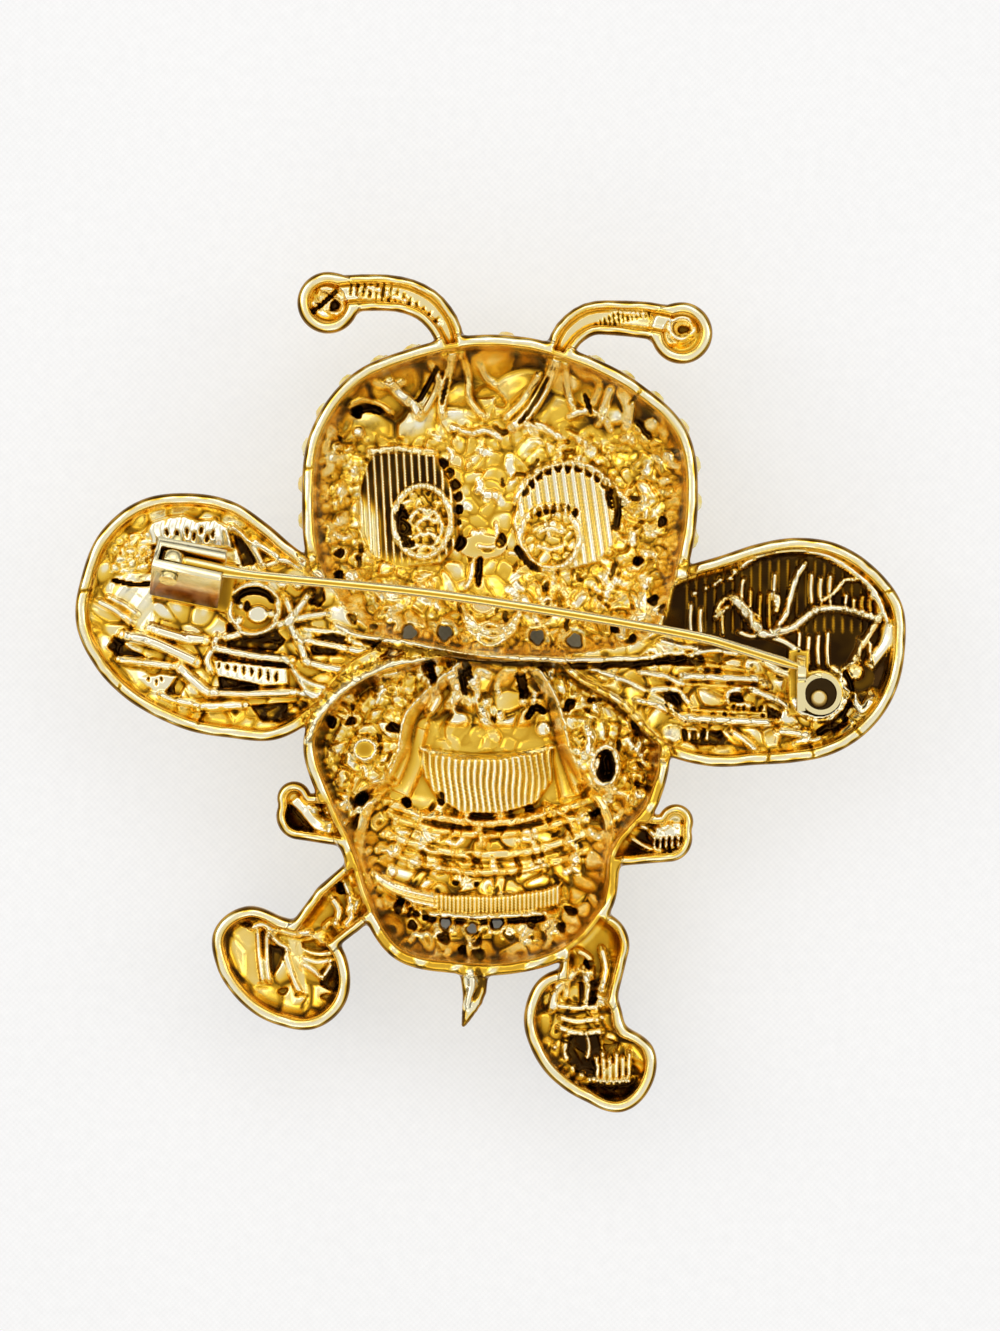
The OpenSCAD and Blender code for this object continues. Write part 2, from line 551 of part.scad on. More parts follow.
// A curved band of enamel across the body.
module band_on(form, place, steps = 12, rows = 2) {
    half = form[1] * place[2];
    at = function (i, j)
        let (x = -half + 2 * half * i / steps,
             y = form[1] * (place[0] + (place[1] - place[0]) * j / rows + place[3] * pow(x / half, 2)))
        form[0] + [x, y];
    top = [for (i = [0 : steps]) for (j = [0 : rows])
        let (p = at(i, j))
        [p[0], p[1], front_z(form, p) - seat_gap]];
    low = [for (q = top) q - [0, 0, enamel_t]];
    m = len(top);
    w = rows + 1;
    polyhedron(concat(top, low), concat(
        [for (i = [0 : steps - 1]) for (j = [0 : rows - 1]) let (a = i * w + j)
            each [[a, a + w + 1, a + 1], [a, a + w, a + w + 1],
                  [m + a, m + a + 1, m + a + w + 1], [m + a, m + a + w + 1, m + a + w]]],
        [for (i = [0 : steps - 1]) let (a = i * w, b = i * w + rows)
            each [[a, m + a, m + a + w, a + w], [b, b + w, m + b + w, m + b]]],
        [for (j = [0 : rows - 1]) let (a = j, b = steps * w + j)
            each [[a, a + 1, m + a + 1, m + a], [b, m + b, m + b + 1, b + 1]]]), convexity = 4);
}
module upper_band() color("dimgray") band_on(body, upper_band_place);
module lower_band() color("dimgray") band_on(body, lower_band_place);

// Enamel filling a flat form's front inside its rim.
module fill_on(form, inset, rings, spokes) {
    at = function (k, i)
        let (p = on_rim(form, i * 360 / spokes, inset))
        form[0] + (p - form[0]) * k / rings;
    seat = function (p) [p[0], p[1], front_z(form, p) - seat_gap];
    top = [for (k = [1 : rings]) for (i = [0 : spokes - 1]) seat(at(k, i))];
    low = [for (q = top) q - [0, 0, enamel_t]];
    mids = [seat(form[0]), seat(form[0]) - [0, 0, enamel_t]];
    polyhedron(concat(top, low, mids), patch_faces(rings, spokes), convexity = 4);
}
module wing_enamel(wing) color("ivory")
    difference() {
        fill_on(wing, rim_w * 1.3, 3, 36);
        column(head, -2 * stone_off);
        column(body, -2 * stone_off);
    }
module left_wing_enamel() wing_enamel(left_wing);
module right_wing_enamel() wing_enamel(right_wing);
module left_shoe_enamel() color("black")
    difference() {
        fill_on(left_shoe, rim_w, 3, 20);
        column(body, -stone_off);
    }
module right_shoe_enamel() color("black") fill_on(right_shoe, rim_w, 3, 20);

// The hinge's own frame: x along the bracket, y along the rivet, z the way the pin opens.
module at_hinge()
    translate([hinge_mid[0], hinge_mid[1], hinge_z])
        rotate([0, 0, bracket_turn])
            rotate([-hinge_lean, 0, 0])
                children();
module hinge_bracket() color("gold")
    difference() {
        room = eyelet_r + cheek_gap;
        reach = bracket_l + bracket_w;
        at_hinge()
            difference() {
                translate([-room - end_wall, -bracket_w / 2, -reach])
                    cube([bracket_l, bracket_w, reach + eyelet_r]);
                translate([-room, -eyelet_t / 2 - cheek_gap, -room])
                    cube([reach, eyelet_t + 2 * cheek_gap, reach]);
                rotate([90, 0, 0])
                    cylinder(h = 2 * bracket_w, r = rivet_r + rivet_gap, center = true, $fn = 48);
            }
        translate([hinge_mid[0] - 2 * reach, hinge_mid[1] - 2 * reach, pad_top + seat_gap - 2 * reach])
            cube([4 * reach, 4 * reach, 2 * reach]);
    }
module hinge_rivet() color("gold")
    at_hinge()
        rotate([90, 0, 0]) {
            cylinder(h = bracket_w + 2 * seat_gap, r = rivet_r, center = true, $fn = 48);
            for (side = [-1, 1])
                translate([0, 0, side * (bracket_w + seat_gap + rivet_r) / 2])
                    cylinder(h = rivet_r, r = rivet_r * 1.6, center = true, $fn = 48);
        }

// The wire's bends, in the plan and in height.
run = tip_mid - hinge_mid;
run_side = [-run[1], run[0]] / norm(run);
function stem_point(row) =
    let (p = hinge_mid + row[0] * run + stem_bow * row[1] * run_side)
    [p[0], p[1], hinge_z + (tip_z - hinge_z) * row[0] + stem_arch * row[2]];
module rod(a, b, r1, r2) {
    way = b - a;
    translate(a)
        rotate([0, acos(way[2] / norm(way)), atan2(way[1], way[0])])
            cylinder(h = norm(way), r1 = r1, r2 = r2, $fn = 32);
}
// The bowed wire, as rings of points along a smooth curve.
module wire(points, r, sides = 8) {
    n = len(points) - 1;
    rings = [for (i = [0 : n])
        let (ahead = points[min(i + 1, n)] - points[max(i - 1, 0)], way = ahead / norm(ahead),
             side = cross([0, 0, 1], way) / norm(cross([0, 0, 1], way)), up = cross(way, side))
        for (k = [0 : sides - 1]) points[i] + r * (cos(360 * k / sides) * side + sin(360 * k / sides) * up)];
    polyhedron(rings, concat(
        [[for (k = [0 : sides - 1]) k]], [[for (k = [sides - 1 : -1 : 0]) n * sides + k]],
        [for (i = [0 : n - 1]) for (k = [0 : sides - 1])
            let (a = i * sides + k, b = i * sides + (k + 1) % sides)
            each [[a, b + sides, b], [a, a + sides, b + sides]]]), convexity = 6);
}
module pin_stem() color("gold") {
    bends = [for (row = stem_bends) stem_point(row)];
    ways = [for (i = [0 : len(bends) - 2]) (bends[i + 1] - bends[i]) / norm(bends[i + 1] - bends[i])];
    last = len(bends) - 1;
    way = ways[last - 1];
    per_bend = 3;
    bow = [for (i = [per_bend : (last - 1) * per_bend]) path_at(bends, i / per_bend)];
    taper = bends[last] - point_l * way;
    difference() {
        union() {
            at_hinge()
                rotate([90, 0, 0])
                    cylinder(h = eyelet_t, r = eyelet_r, center = true, $fn = 48);
            rod(bends[0] + 0.8 * eyelet_r * ways[0], bends[1], stem_r, stem_r);
            wire(concat([bends[1] - stem_r * ways[0]], bow, [bends[last - 1] + stem_r * way]), 0.96 * stem_r);
            rod(bends[last - 1], taper, stem_r, stem_r);
            rod(taper - 0.1 * way, bends[last], 0.98 * stem_r, 0.25 * stem_r);
        }
        at_hinge()
            rotate([90, 0, 0])
                cylinder(h = eyelet_t + 1, r = rivet_r + rivet_gap, center = true, $fn = 48);
    }
}

// The catch: a round cup beside an upright hook, whose slanting slot follows the point's way out.
module catch() color("gold") {
    seat = pad_top + seat_gap;
    slot_r = stem_r * 0.7 + hook_gap;
    slot_l = 6 * hook_t;
    wire_turn = atan2(run[1], run[0]) - atan2(stem_bow, (1 - stem_bends[3][0]) * norm(run));
    difference() {
        union() {
            translate([cup_mid[0], cup_mid[1], seat])
                cylinder(h = cup_h, r = cup_r, $fn = 48);
            translate([tip_mid[0] - 1.1 * hook_t, tip_mid[1], tip_z]) {
                rotate([0, 90, 0])
                    cylinder(h = hook_t, r = hook_head, $fn = 48);
                translate([0, -hook_foot, seat - tip_z])
                    cube([hook_t, hook_foot + hook_head, tip_z - seat]);
            }
        }
        translate([cup_mid[0], cup_mid[1], seat + cup_wall])
            cylinder(h = 2 * cup_h, r = cup_r - cup_wall, $fn = 48);
        translate([tip_mid[0], tip_mid[1], tip_z])
            rotate([0, 0, wire_turn])
                rotate([-hinge_lean, 0, 0])
                    translate([-0.65 * slot_l, 0, 0]) {
                        rotate([0, 90, 0])
                            cylinder(h = slot_l, r = slot_r, $fn = 48);
                        translate([0, -slot_r, 0])
                            cube([slot_l, 2 * slot_r, slot_l]);
                    }
    }
}

casting();
hinge_bracket();
hinge_rivet();
catch();
pin_stem();
head_stones();
thorax_stones();
belly_stones();
left_tip_stone();
right_tip_stone();
left_eye();
right_eye();
left_pupil();
right_pupil();
nose();
upper_band();
lower_band();
left_wing_enamel();
right_wing_enamel();
left_shoe_enamel();
right_shoe_enamel();
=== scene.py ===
import math
import bmesh
import bpy
import numpy as np
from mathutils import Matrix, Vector, geometry


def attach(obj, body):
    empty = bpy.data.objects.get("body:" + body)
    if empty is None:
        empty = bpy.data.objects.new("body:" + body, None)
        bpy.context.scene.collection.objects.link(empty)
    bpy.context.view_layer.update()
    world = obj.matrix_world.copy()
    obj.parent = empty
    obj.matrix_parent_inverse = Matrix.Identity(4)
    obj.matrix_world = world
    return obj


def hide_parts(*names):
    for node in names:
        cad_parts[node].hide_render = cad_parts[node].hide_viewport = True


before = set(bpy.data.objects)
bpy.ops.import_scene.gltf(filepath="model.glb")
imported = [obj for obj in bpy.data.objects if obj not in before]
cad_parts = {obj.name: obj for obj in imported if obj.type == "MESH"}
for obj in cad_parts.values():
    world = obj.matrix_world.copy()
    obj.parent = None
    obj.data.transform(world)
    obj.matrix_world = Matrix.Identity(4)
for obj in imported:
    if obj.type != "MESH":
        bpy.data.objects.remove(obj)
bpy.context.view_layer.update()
mm = 0.001
perMm = 16  # points of the picture to the millimetre
picture = {"x": 490, "y": 690, "right": -0.06, "up": 0.13}  # its middle in points, then in millimetres


def at(px, py):  # a point of the picture in millimetres
    return ((px - picture["x"]) / perMm + picture["right"], (picture["y"] - py) / perMm + picture["up"])


def pictureOf(x, y):  # and back again
    return picture["x"] + (x - picture["right"]) * perMm, picture["y"] - (y - picture["up"]) * perMm


# Curves and forms

def blendFour(a, b, c, d, t):
    return 0.5 * (2 * b + (c - a) * t + (2 * a - 5 * b + 4 * c - d) * t * t + (3 * b - a - 3 * c + d) * t**3)


def rimRadius(form, angle):  # angle in degrees
    shape = form["shape"]
    n = len(shape)
    u = (angle / 360 % 1) * n
    i = np.floor(u).astype(int)
    return form["r"] * blendFour(*(shape[(i + k) % n] for k in (-1, 0, 1, 2)), u - i)


def polar(form, x, y):
    dx, dy = x - form["mid"][0], y - form["mid"][1]
    return np.hypot(dx, dy), np.degrees(np.arctan2(dy, dx))


def inset(form, x, y):  # how far inside the outline, negative outside
    rho, angle = polar(form, x, y)
    r = rimRadius(form, angle)
    slope = (rimRadius(form, angle + 0.5) - rimRadius(form, angle - 0.5)) / math.radians(1)
    return (r - rho) / np.sqrt(1 + (slope / r) ** 2)


def bowlDepth(form, x, y, narrow, deep):  # depth below the rim of a bowl narrower than the form
    rho, angle = polar(form, x, y)
    s = np.clip(rho / (rimRadius(form, angle) - narrow), 0, 1)
    n = form["round"]
    return deep * np.maximum(0, 1 - s**n) ** (1 / n)


def smoothMax(a, b, k):
    h = np.clip(0.5 + 0.5 * (a - b) / k, 0, 1)
    return a * h + b * (1 - h) + k * h * (1 - h)


def smoothStep(lo, hi, v):
    t = np.clip((v - lo) / (hi - lo), 0, 1)
    return t * t * (3 - 2 * t)


def curveRows(rows, per):  # a smooth curve through rows of numbers
    rows = np.array(rows, float)
    out = []
    for i in range(len(rows) - 1):
        a, d = rows[max(i - 1, 0)], rows[min(i + 2, len(rows) - 1)]
        for t in np.arange(per) / per:
            out.append(blendFour(a, rows[i], rows[i + 1], d, t))
    out.append(rows[-1])
    return np.array(out)


def alongPath(rows, x, y):  # distance to a path and the nearest place on it, 0 to 1
    best = np.full(x.shape, 1e9)
    where = np.zeros(x.shape)
    extra = np.zeros(x.shape)
    n = len(rows) - 1
    for i in range(n):
        a, b = rows[i], rows[i + 1]
        dx, dy = b[0] - a[0], b[1] - a[1]
        t = np.clip(((x - a[0]) * dx + (y - a[1]) * dy) / max(dx * dx + dy * dy, 1e-12), 0, 1)
        d = np.hypot(x - a[0] - t * dx, y - a[1] - t * dy)
        r = a[2] + (b[2] - a[2]) * t if len(a) > 2 else 0
        near = d - r < best - extra if len(a) > 2 else d < best
        best = np.where(near, d, best)
        extra = np.where(near, r, extra)
        where = np.where(near, (i + t) / n, where)
    return best, where, extra


def shape(*shares):
    return np.array(shares, float)


rimW, floorT = 0.75, 0.9
forms = {
    "head": {"mid": (0.44, 11.93), "r": 12.4, "top": 8.6, "deep": 7.3, "round": 2.8,
             "shape": shape(1.01, 1.02, 0.93, 0.86, 0.84, 0.85, 0.89, 0.98, 1.01, 0.99, 1.01,
                            1, 0.88, 0.84, 0.85, 0.95, 1.1, 1.02)},
    "body": {"mid": (-0.36, -6.87), "r": 10.6, "top": 8.4, "deep": 7.75, "round": 2.8,
             "shape": shape(1.03, 1.15, 1.12, 1, 0.95, 0.95, 1, 1.11, 1.14, 0.98, 0.9, 0.97,
                            1.07, 1.03, 1.03, 1.04, 0.98, 0.87)},
    "leftWing": {"mid": (-17.56, 4.33), "r": 8.44, "top": 8, "deep": 2.6, "round": 4,
                 "shape": shape(1.42, 1, 0.85, 0.85, 0.92, 0.98, 1.05, 1.06, 1.02, 1, 0.92,
                                0.85, 0.81, 0.82, 0.87, 1, 1.06, 1.14)},
    "rightWing": {"mid": (17.74, 2.58), "r": 8.19, "top": 8, "deep": 2.6, "round": 4,
                  "shape": shape(1, 1.04, 1, 0.95, 0.88, 0.83, 0.84, 0.97, 1.19, 1.7, 1.3,
                                 1.18, 1.02, 0.89, 0.87, 0.91, 0.95, 0.98)},
}


def onRim(form, angle, narrow=0):
    r = rimRadius(form, np.array(float(angle))) - narrow
    a = math.radians(angle)
    return np.array(form["mid"]) + r * np.array([math.cos(a), math.sin(a)])


head, body = forms["head"], forms["body"]
limbSizes = {"antenna": (8, 1.18), "arm": (4, 1.5), "leg": (4, 1.9), "sting": (4, 1.05)}  # length, radius
antennaLong, antennaW = limbSizes["antenna"]
armLong, armW = limbSizes["arm"]
legLong, legW = limbSizes["leg"]
stingLong, stingW = limbSizes["sting"]
leftAntennaRoot, rightAntennaRoot = onRim(head, 106.5, 0.5), onRim(head, 68, 0.5)
leftArmRoot, rightArmRoot = onRim(body, 189, armW), onRim(body, 344, armW / 2)
leftLegRoot, rightLegRoot = onRim(body, 215, legW / 2), onRim(body, 307, legW / 2)
stingRoot = onRim(body, 265.5, rimW)


def limbRows(root, rows, long, wide, per):
    placed = [[root[0] + long * a, root[1] + long * b, wide * r] for a, b, r in rows]
    return curveRows(placed, per) if per > 1 else np.array(placed)


limbs = {
    "leftAntenna": limbRows(leftAntennaRoot, [[0, 0, 0.75], [-0.07, 0.18, 0.85], [-0.21, 0.33, 0.92],
                            [-0.42, 0.41, 0.97], [-0.7, 0.42, 1], [-0.9, 0.4, 1]], antennaLong, antennaW, 3),
    "rightAntenna": limbRows(rightAntennaRoot, [[0, 0, 0.75], [0.09, 0.16, 0.85], [0.25, 0.27, 0.9],
                             [0.45, 0.28, 0.95], [0.7, 0.26, 1], [0.9, 0.22, 1]], antennaLong, antennaW, 3),
    "leftArm": limbRows(leftArmRoot, [[0, 0, 1.08], [-0.84, 0.1, 1], [-0.93, 0.38, 0.72]], armLong, armW, 1),
    "rightArm": limbRows(rightArmRoot, [[0, 0, 1.12], [0.8, 0.02, 1], [0.91, 0.28, 0.75]], armLong, armW, 1),
    "leftLeg": limbRows(leftLegRoot, [[0, 0, 1], [-0.42, -0.36, 1], [-0.9, -0.85, 0.8]], legLong, legW, 1),
    "rightLeg": limbRows(rightLegRoot, [[0, 0, 1], [0.23, -0.27, 1.14], [0.12, -1, 1]], legLong, legW, 1),
    "sting": limbRows(stingRoot, [[0, 0.2, 1], [0.03, -0.42, 0.75], [-0.07, -0.78, 0.4],
                      [-0.14, -0.97, 0.15]], stingLong, stingW, 3),
}
limbDeep = {"leftAntenna": 1.9, "rightAntenna": 1.9, "leftArm": 2.6, "rightArm": 2.6, "leftLeg": 2.6,
            "rightLeg": 2.6, "sting": 1.5}
limbTop = 7.6
ones = shape(1, 1, 1, 1)
forms["leftBall"] = {"mid": tuple(leftAntennaRoot + antennaLong * np.array([-0.97, 0.34])),
                     "r": 1.95, "top": 7.8, "deep": 3.2, "round": 2.8, "shape": ones}
forms["rightBall"] = {"mid": tuple(rightAntennaRoot + antennaLong * np.array([0.97, 0.16])),
                      "r": 1.95, "top": 7.8, "deep": 3.2, "round": 2.8, "shape": ones}
forms["leftShoe"] = {"mid": tuple(leftLegRoot + legLong * np.array([-1.35, -1.3])),
                     "r": 4, "top": 7.3, "deep": 3.1, "round": 4,
                     "shape": shape(1.08, 0.97, 0.81, 0.81, 1.11, 1.2, 1, 0.86, 0.84, 0.92, 1.11, 1.17)}
forms["rightShoe"] = {"mid": tuple(rightLegRoot + legLong * np.array([0.1, -1.9])),
                      "r": 4, "top": 7.3, "deep": 3.1, "round": 4,
                      "shape": shape(1.06, 0.73, 0.94, 1.23, 1.34, 1.14, 0.88, 0.75, 0.73, 0.84, 1.14, 1.17)}
holes = [(head["mid"][0] + head["r"] * a, head["mid"][1] + head["r"] * b, 0.5)
         for a, b in ((-0.45, -0.66), (-0.27, -0.66), (0.2, -0.68), (0.39, -0.7))]
holes += [(body["mid"][0] + body["r"] * a, body["mid"][1] + body["r"] * b, 0.35)
          for a, b in ((-0.24, -0.74), (-0.08, -0.77), (0.07, -0.74))]
print("forms", len(forms), "limbs", len(limbs))


# The casting's fields

def insets(x, y):
    out = {name: inset(form, x, y) for name, form in forms.items()}
    for name, rows in limbs.items():
        d, _, r = alongPath(rows, x, y)
        out[name] = r - d
    return out


def outlineField(x, y, e):  # inside the casting's outline is positive
    g = np.full(x.shape, -9.0)
    for v in e.values():
        g = smoothMax(g, v - 0.02, 0.35)
    gap = at(387, 654)  # metal closes the corner between head, body and left wing
    g = smoothMax(g, 1.0 - np.hypot((x - gap[0]) * 0.7, y - gap[1]), 0.2)
    for hx, hy, hr in holes:
        turn = np.arctan2(y - hy, x - hx)
        uneven = 0.86 + 0.1 * np.sin(3 * turn + 2 * hx) + 0.06 * np.sin(5 * turn + hx)
        g = np.minimum(g, np.hypot(x - hx, y - hy) - hr * uneven)
    return g


mainForms = ("head", "leftWing", "rightWing", "body")
endForms = ("leftBall", "rightBall", "leftShoe", "rightShoe")


def hollowFields(e):  # inside each hollow is positive
    hollows = {name: e[name] - rimW for name in mainForms + endForms}
    hollows.update({name: e[name] - rimW * 0.8 for name in limbs if name != "sting"})
    clearHead, clearBody = rimW / 2 - e["head"], rimW / 2 - e["body"]
    for name in hollows:
        if name not in mainForms:
            hollows[name] = np.minimum(hollows[name], np.minimum(clearHead, clearBody))
    for wall in (clearHead, rimW / 2 - e["leftWing"], rimW / 2 - e["rightWing"]):
        hollows["body"] = np.minimum(hollows["body"], wall)
    return hollows


def hollowField(e):
    h = np.full(e["head"].shape, -9.0)
    for v in hollowFields(e).values():
        h = smoothMax(h, v, 0.12)
    return h


def roundEdge(d, r):  # how much an edge drops at distance d inside it
    t = np.clip(1 - d / r, 0, 1)
    return r * (1 - np.sqrt(np.maximum(0, 1 - t * t)))


# Contours as closed loops

def loopsOf(field, xs, ys, level, step):
    f = field - level
    f = np.where(np.abs(f) < 1e-9, 1e-9, f)
    s = f > 0
    code = s[:-1, :-1] * 1 + s[:-1, 1:] * 2 + s[1:, 1:] * 4 + s[1:, :-1] * 8
    nx = f.shape[1]
    j, i = np.nonzero((code > 0) & (code < 15))
    c = code[j, i]
    edgeOf = {"B": 2 * (j * nx + i), "L": 2 * (j * nx + i) + 1, "T": 2 * ((j + 1) * nx + i),
              "R": 2 * (j * nx + i + 1) + 1}
    turns = {1: "BL", 2: "RB", 3: "RL", 4: "TR", 5: "BLTR", 6: "TB", 7: "TL", 8: "LT", 9: "BT", 10: "RBLT",
             11: "RT", 12: "LR", 13: "BR", 14: "LB"}
    ahead = {}
    for k, way in turns.items():
        m = c == k
        for a, b in (way[:2], way[2:]) if len(way) == 4 else (way,):
            ahead.update(zip(edgeOf[a][m].tolist(), edgeOf[b][m].tolist()))
    loops = []
    while ahead:
        first, here = ahead.popitem()
        ids = [first]
        while here != first and here in ahead:
            ids.append(here)
            here = ahead.pop(here)
        ids = np.array(ids)
        cell, upright = ids // 2, ids % 2 == 1
        cj, ci = cell // nx, cell % nx
        ej, ei = np.where(upright, cj + 1, cj), np.where(upright, ci, ci + 1)
        fa, fb = f[cj, ci], f[np.minimum(ej, f.shape[0] - 1), np.minimum(ei, nx - 1)]
        t = fa / (fa - fb)
        p = np.stack([xs[ci] + t * (xs[np.minimum(ei, nx - 1)] - xs[ci]),
                      ys[cj] + t * (ys[np.minimum(ej, f.shape[0] - 1)] - ys[cj])], 1)
        p = np.vstack([p, p[:1]])
        run = np.concatenate([[0], np.cumsum(np.hypot(*np.diff(p, axis=0).T))])
        if run[-1] < 6 * step:
            continue
        n = max(8, int(round(run[-1] / step)))
        u = np.arange(n) * run[-1] / n
        loops.append(np.stack([np.interp(u, run, p[:, 0]), np.interp(u, run, p[:, 1])], 1))
    return loops


gridStep = 0.08
gx = np.arange(-26.6, 26.6, gridStep)
gy = np.arange(-26.8, 26.8, gridStep)
gridX, gridY = np.meshgrid(gx, gy)
gridInsets = insets(gridX, gridY)
gridG = outlineField(gridX, gridY, gridInsets)
gridH = hollowField(gridInsets)
print("fields on", gridX.shape)


def triangulate(loops, spots):  # keeps the loops as edges, and also returns where each input point went
    points = np.vstack(loops + [spots])
    edges, at0 = [], 0
    for loop in loops:
        n = len(loop)
        edges += [(at0 + i, at0 + (i + 1) % n) for i in range(n)]
        at0 += n
    out = geometry.delaunay_2d_cdt([Vector((float(a), float(b))) for a, b in points], edges, [], 1, 1e-6)
    place = {}
    for new, olds in enumerate(out[3]):
        for old in olds:
            place[old] = new
    return np.array([tuple(v) for v in out[0]]), np.array(out[2]), place


def sample(grid, x, y):  # a grid's value between its points
    u = np.clip((x - gx[0]) / gridStep, 0, len(gx) - 1.001)
    v = np.clip((y - gy[0]) / gridStep, 0, len(gy) - 1.001)
    i, j = u.astype(int), v.astype(int)
    a, b = u - i, v - j
    return ((grid[j, i] * (1 - a) + grid[j, i + 1] * a) * (1 - b)
            + (grid[j + 1, i] * (1 - a) + grid[j + 1, i + 1] * a) * b)


def hexSpots(step, keep):
    xs = np.arange(-26.4, 26.4, step)
    ys = np.arange(-26.6, 26.6, step * math.sqrt(3) / 2)
    x, y = np.meshgrid(xs, ys)
    x = x + (np.arange(len(ys)) % 2)[:, None] * step / 2
    x, y = x.ravel(), y.ravel()
    ok = keep(x, y)
    return np.stack([x[ok], y[ok]], 1)


# The relief inside the casting, drawn on its fields. Tone runs from 0, pale, to 1, almost black, and carries
# painted light and shade: raised lines, beads and flats are mostly painted pale as highlights, and pits,
# slits and sunken cells dark as shade.

def near(f, points, margin):  # the points of the field close to some places
    p = np.array(points)[:, :2]
    lo, hi = p.min(0) - margin, p.max(0) + margin
    return np.nonzero((f["x"] > lo[0]) & (f["x"] < hi[0]) & (f["y"] > lo[1]) & (f["y"] < hi[1]))[0]


def toMm(points):
    return np.array([at(*p) for p in points])


def ridge(f, points, wide, high, tone, smooth=True):  # a rounded line, its half width in picture points
    rows = toMm(points)
    if smooth and len(rows) > 2:
        rows = curveRows(rows, 5)
    w = wide / perMm
    m = near(f, rows, w)
    d, where, _ = alongPath(rows, f["x"][m], f["y"][m])
    hump = np.maximum(0, 1 - (d / w) ** 3) ** 0.6
    hump = hump * np.minimum(1, np.minimum(where, 1 - where) * 12 + 0.55)
    f["z"][m] += high * hump
    f["tone"][m] += (tone - f["tone"][m]) * np.minimum(1, hump * 1.6)


def pit(f, point, half, deep, tone=1.0):  # an uneven small hollow, painted dark as shade
    c = at(*point)
    m = near(f, [c], max(half) / perMm * 1.2)
    dx, dy = (f["x"][m] - c[0]) * perMm / half[0], (f["y"][m] - c[1]) * perMm / half[1]
    turn = np.arctan2(dy, dx) + point[0]
    d = (dx * dx + dy * dy) * (1.25 + 0.3 * np.sin(2 * turn) + 0.25 * np.sin(3 * turn + point[1]))
    k = smoothStep(1.3, 0.35, d)
    f["z"][m] -= deep * k
    f["tone"][m] += (0.9 * tone - f["tone"][m]) * k


# a round bump, painted pale as a highlight
def bead(f, point, r, high, tone=0.05):
    c = at(*point)
    m = near(f, [c], r / perMm)
    d = np.hypot(f["x"][m] - c[0], f["y"][m] - c[1]) * perMm / r
    hump = np.sqrt(np.maximum(0, 1 - d * d))
    f["z"][m] += high * hump
    f["tone"][m] += (tone - f["tone"][m]) * np.minimum(1, hump * 1.5)


def loop(f, point, half, wide, high, tone, from_=0, to=360):  # an oval ridge or part of one
    turns = np.radians(np.linspace(from_, to, 40))
    points = [(point[0] + half[0] * math.cos(a), point[1] - half[1] * math.sin(a)) for a in turns]
    ridge(f, points, wide, high, tone, smooth=False)


def disc(f, point, half, level, tone, soft=0.08):  # a level round floor
    c = at(*point)
    m = near(f, [c], max(half) / perMm * 1.1)
    d = np.sqrt(((f["x"][m] - c[0]) * perMm / half[0]) ** 2 + ((f["y"][m] - c[1]) * perMm / half[1]) ** 2)
    k = smoothStep(1, 1 - soft, d)
    f["z"][m] += (level - f["z"][m]) * k
    f["tone"][m] += (tone - f["tone"][m]) * k


def stripes(f, inside, pitch, high, tones, turn=0, share=0.5, wander=0.0):  # bars where inside is positive, the raised bars in the first tone, mostly pale as painted highlights, and the grooves in the second, darker as painted shade
    m = np.nonzero(inside > 0)[0]
    a = math.radians(turn)
    u = (f["x"][m] * math.cos(a) + f["y"][m] * math.sin(a)) * perMm
    v = (-f["x"][m] * math.sin(a) + f["y"][m] * math.cos(a)) * perMm
    u = u + wander * np.sin(v * 0.11 + u * 0.05)
    wave = 0.5 + 0.5 * np.cos(2 * math.pi * u / pitch)
    line = smoothStep(1 - share, 1 - share + 0.35, wave)
    k = np.minimum(1, inside[m])
    f["z"][m] += high * line * k
    f["tone"][m] += (tones[1] + (tones[0] - tones[1]) * line - f["tone"][m]) * k


def isWithin(line, x, y):  # which points lie inside a closed line
    odd = np.zeros(x.shape, bool)
    for (ax, ay), (bx, by) in zip(line, np.roll(line, -1, 0)):
        if ay != by:
            odd ^= ((ay > y) != (by > y)) & (x < (bx - ax) * (y - ay) / (by - ay) + ax)
    return odd


def mask(f, points, soft=2.0):  # 1 inside a closed outline read off the picture, 0 outside
    rows = toMm(points)
    m = near(f, rows, soft / perMm)
    out = np.zeros(f["x"].shape)
    x, y = f["x"][m], f["y"][m]
    d = alongPath(np.vstack([rows, rows[:1]]), x, y)[0]
    out[m] = smoothStep(-soft / perMm / 2, soft / perMm / 2, np.where(isWithin(rows, x, y), d, -d))
    return out


def hashed(i, j, seed):  # four even random numbers for a cell
    n = (i.astype(np.int64) * 374761393 + j.astype(np.int64) * 668265263 + seed * 974711) & 0xFFFFFFFF
    out = []
    for k in range(4):
        n = ((n ^ (n >> 15)) * 2246822519 + k * 3266489917) & 0xFFFFFFFF
        n = (n ^ (n >> 13)) & 0xFFFFFFFF
        out.append((n & 0xFFFF) / 65535)
    return out


def cells(x, y, pitch, seed, jitter=0.75):  # how far the two nearest cells are, and the nearer one
    v = y / (pitch * 0.9)
    j0 = np.floor(v)
    first = np.full(x.shape, 9.0)
    second = np.full(x.shape, 9.0)
    best = [np.zeros(x.shape) for _ in range(6)]
    for dj in (-1, 0, 1):
        j = j0 + dj
        u = x / pitch + (j % 2) * 0.5
        i0 = np.floor(u)
        for di in (-1, 0, 1):
            i = i0 + di
            r = hashed(i, j, seed)
            dx = u - (i + 0.5 + jitter * (r[0] - 0.5))
            dy = v - (j + 0.5 + jitter * (r[1] - 0.5))
            d = np.hypot(dx, dy)
            closer = d < first
            second = np.where(closer, first, np.minimum(second, d))
            first = np.where(closer, d, first)
            for k, value in enumerate((dx, dy, r[2], r[3], r[0], r[1])):
                best[k] = np.where(closer, value, best[k])
    return first, second, best


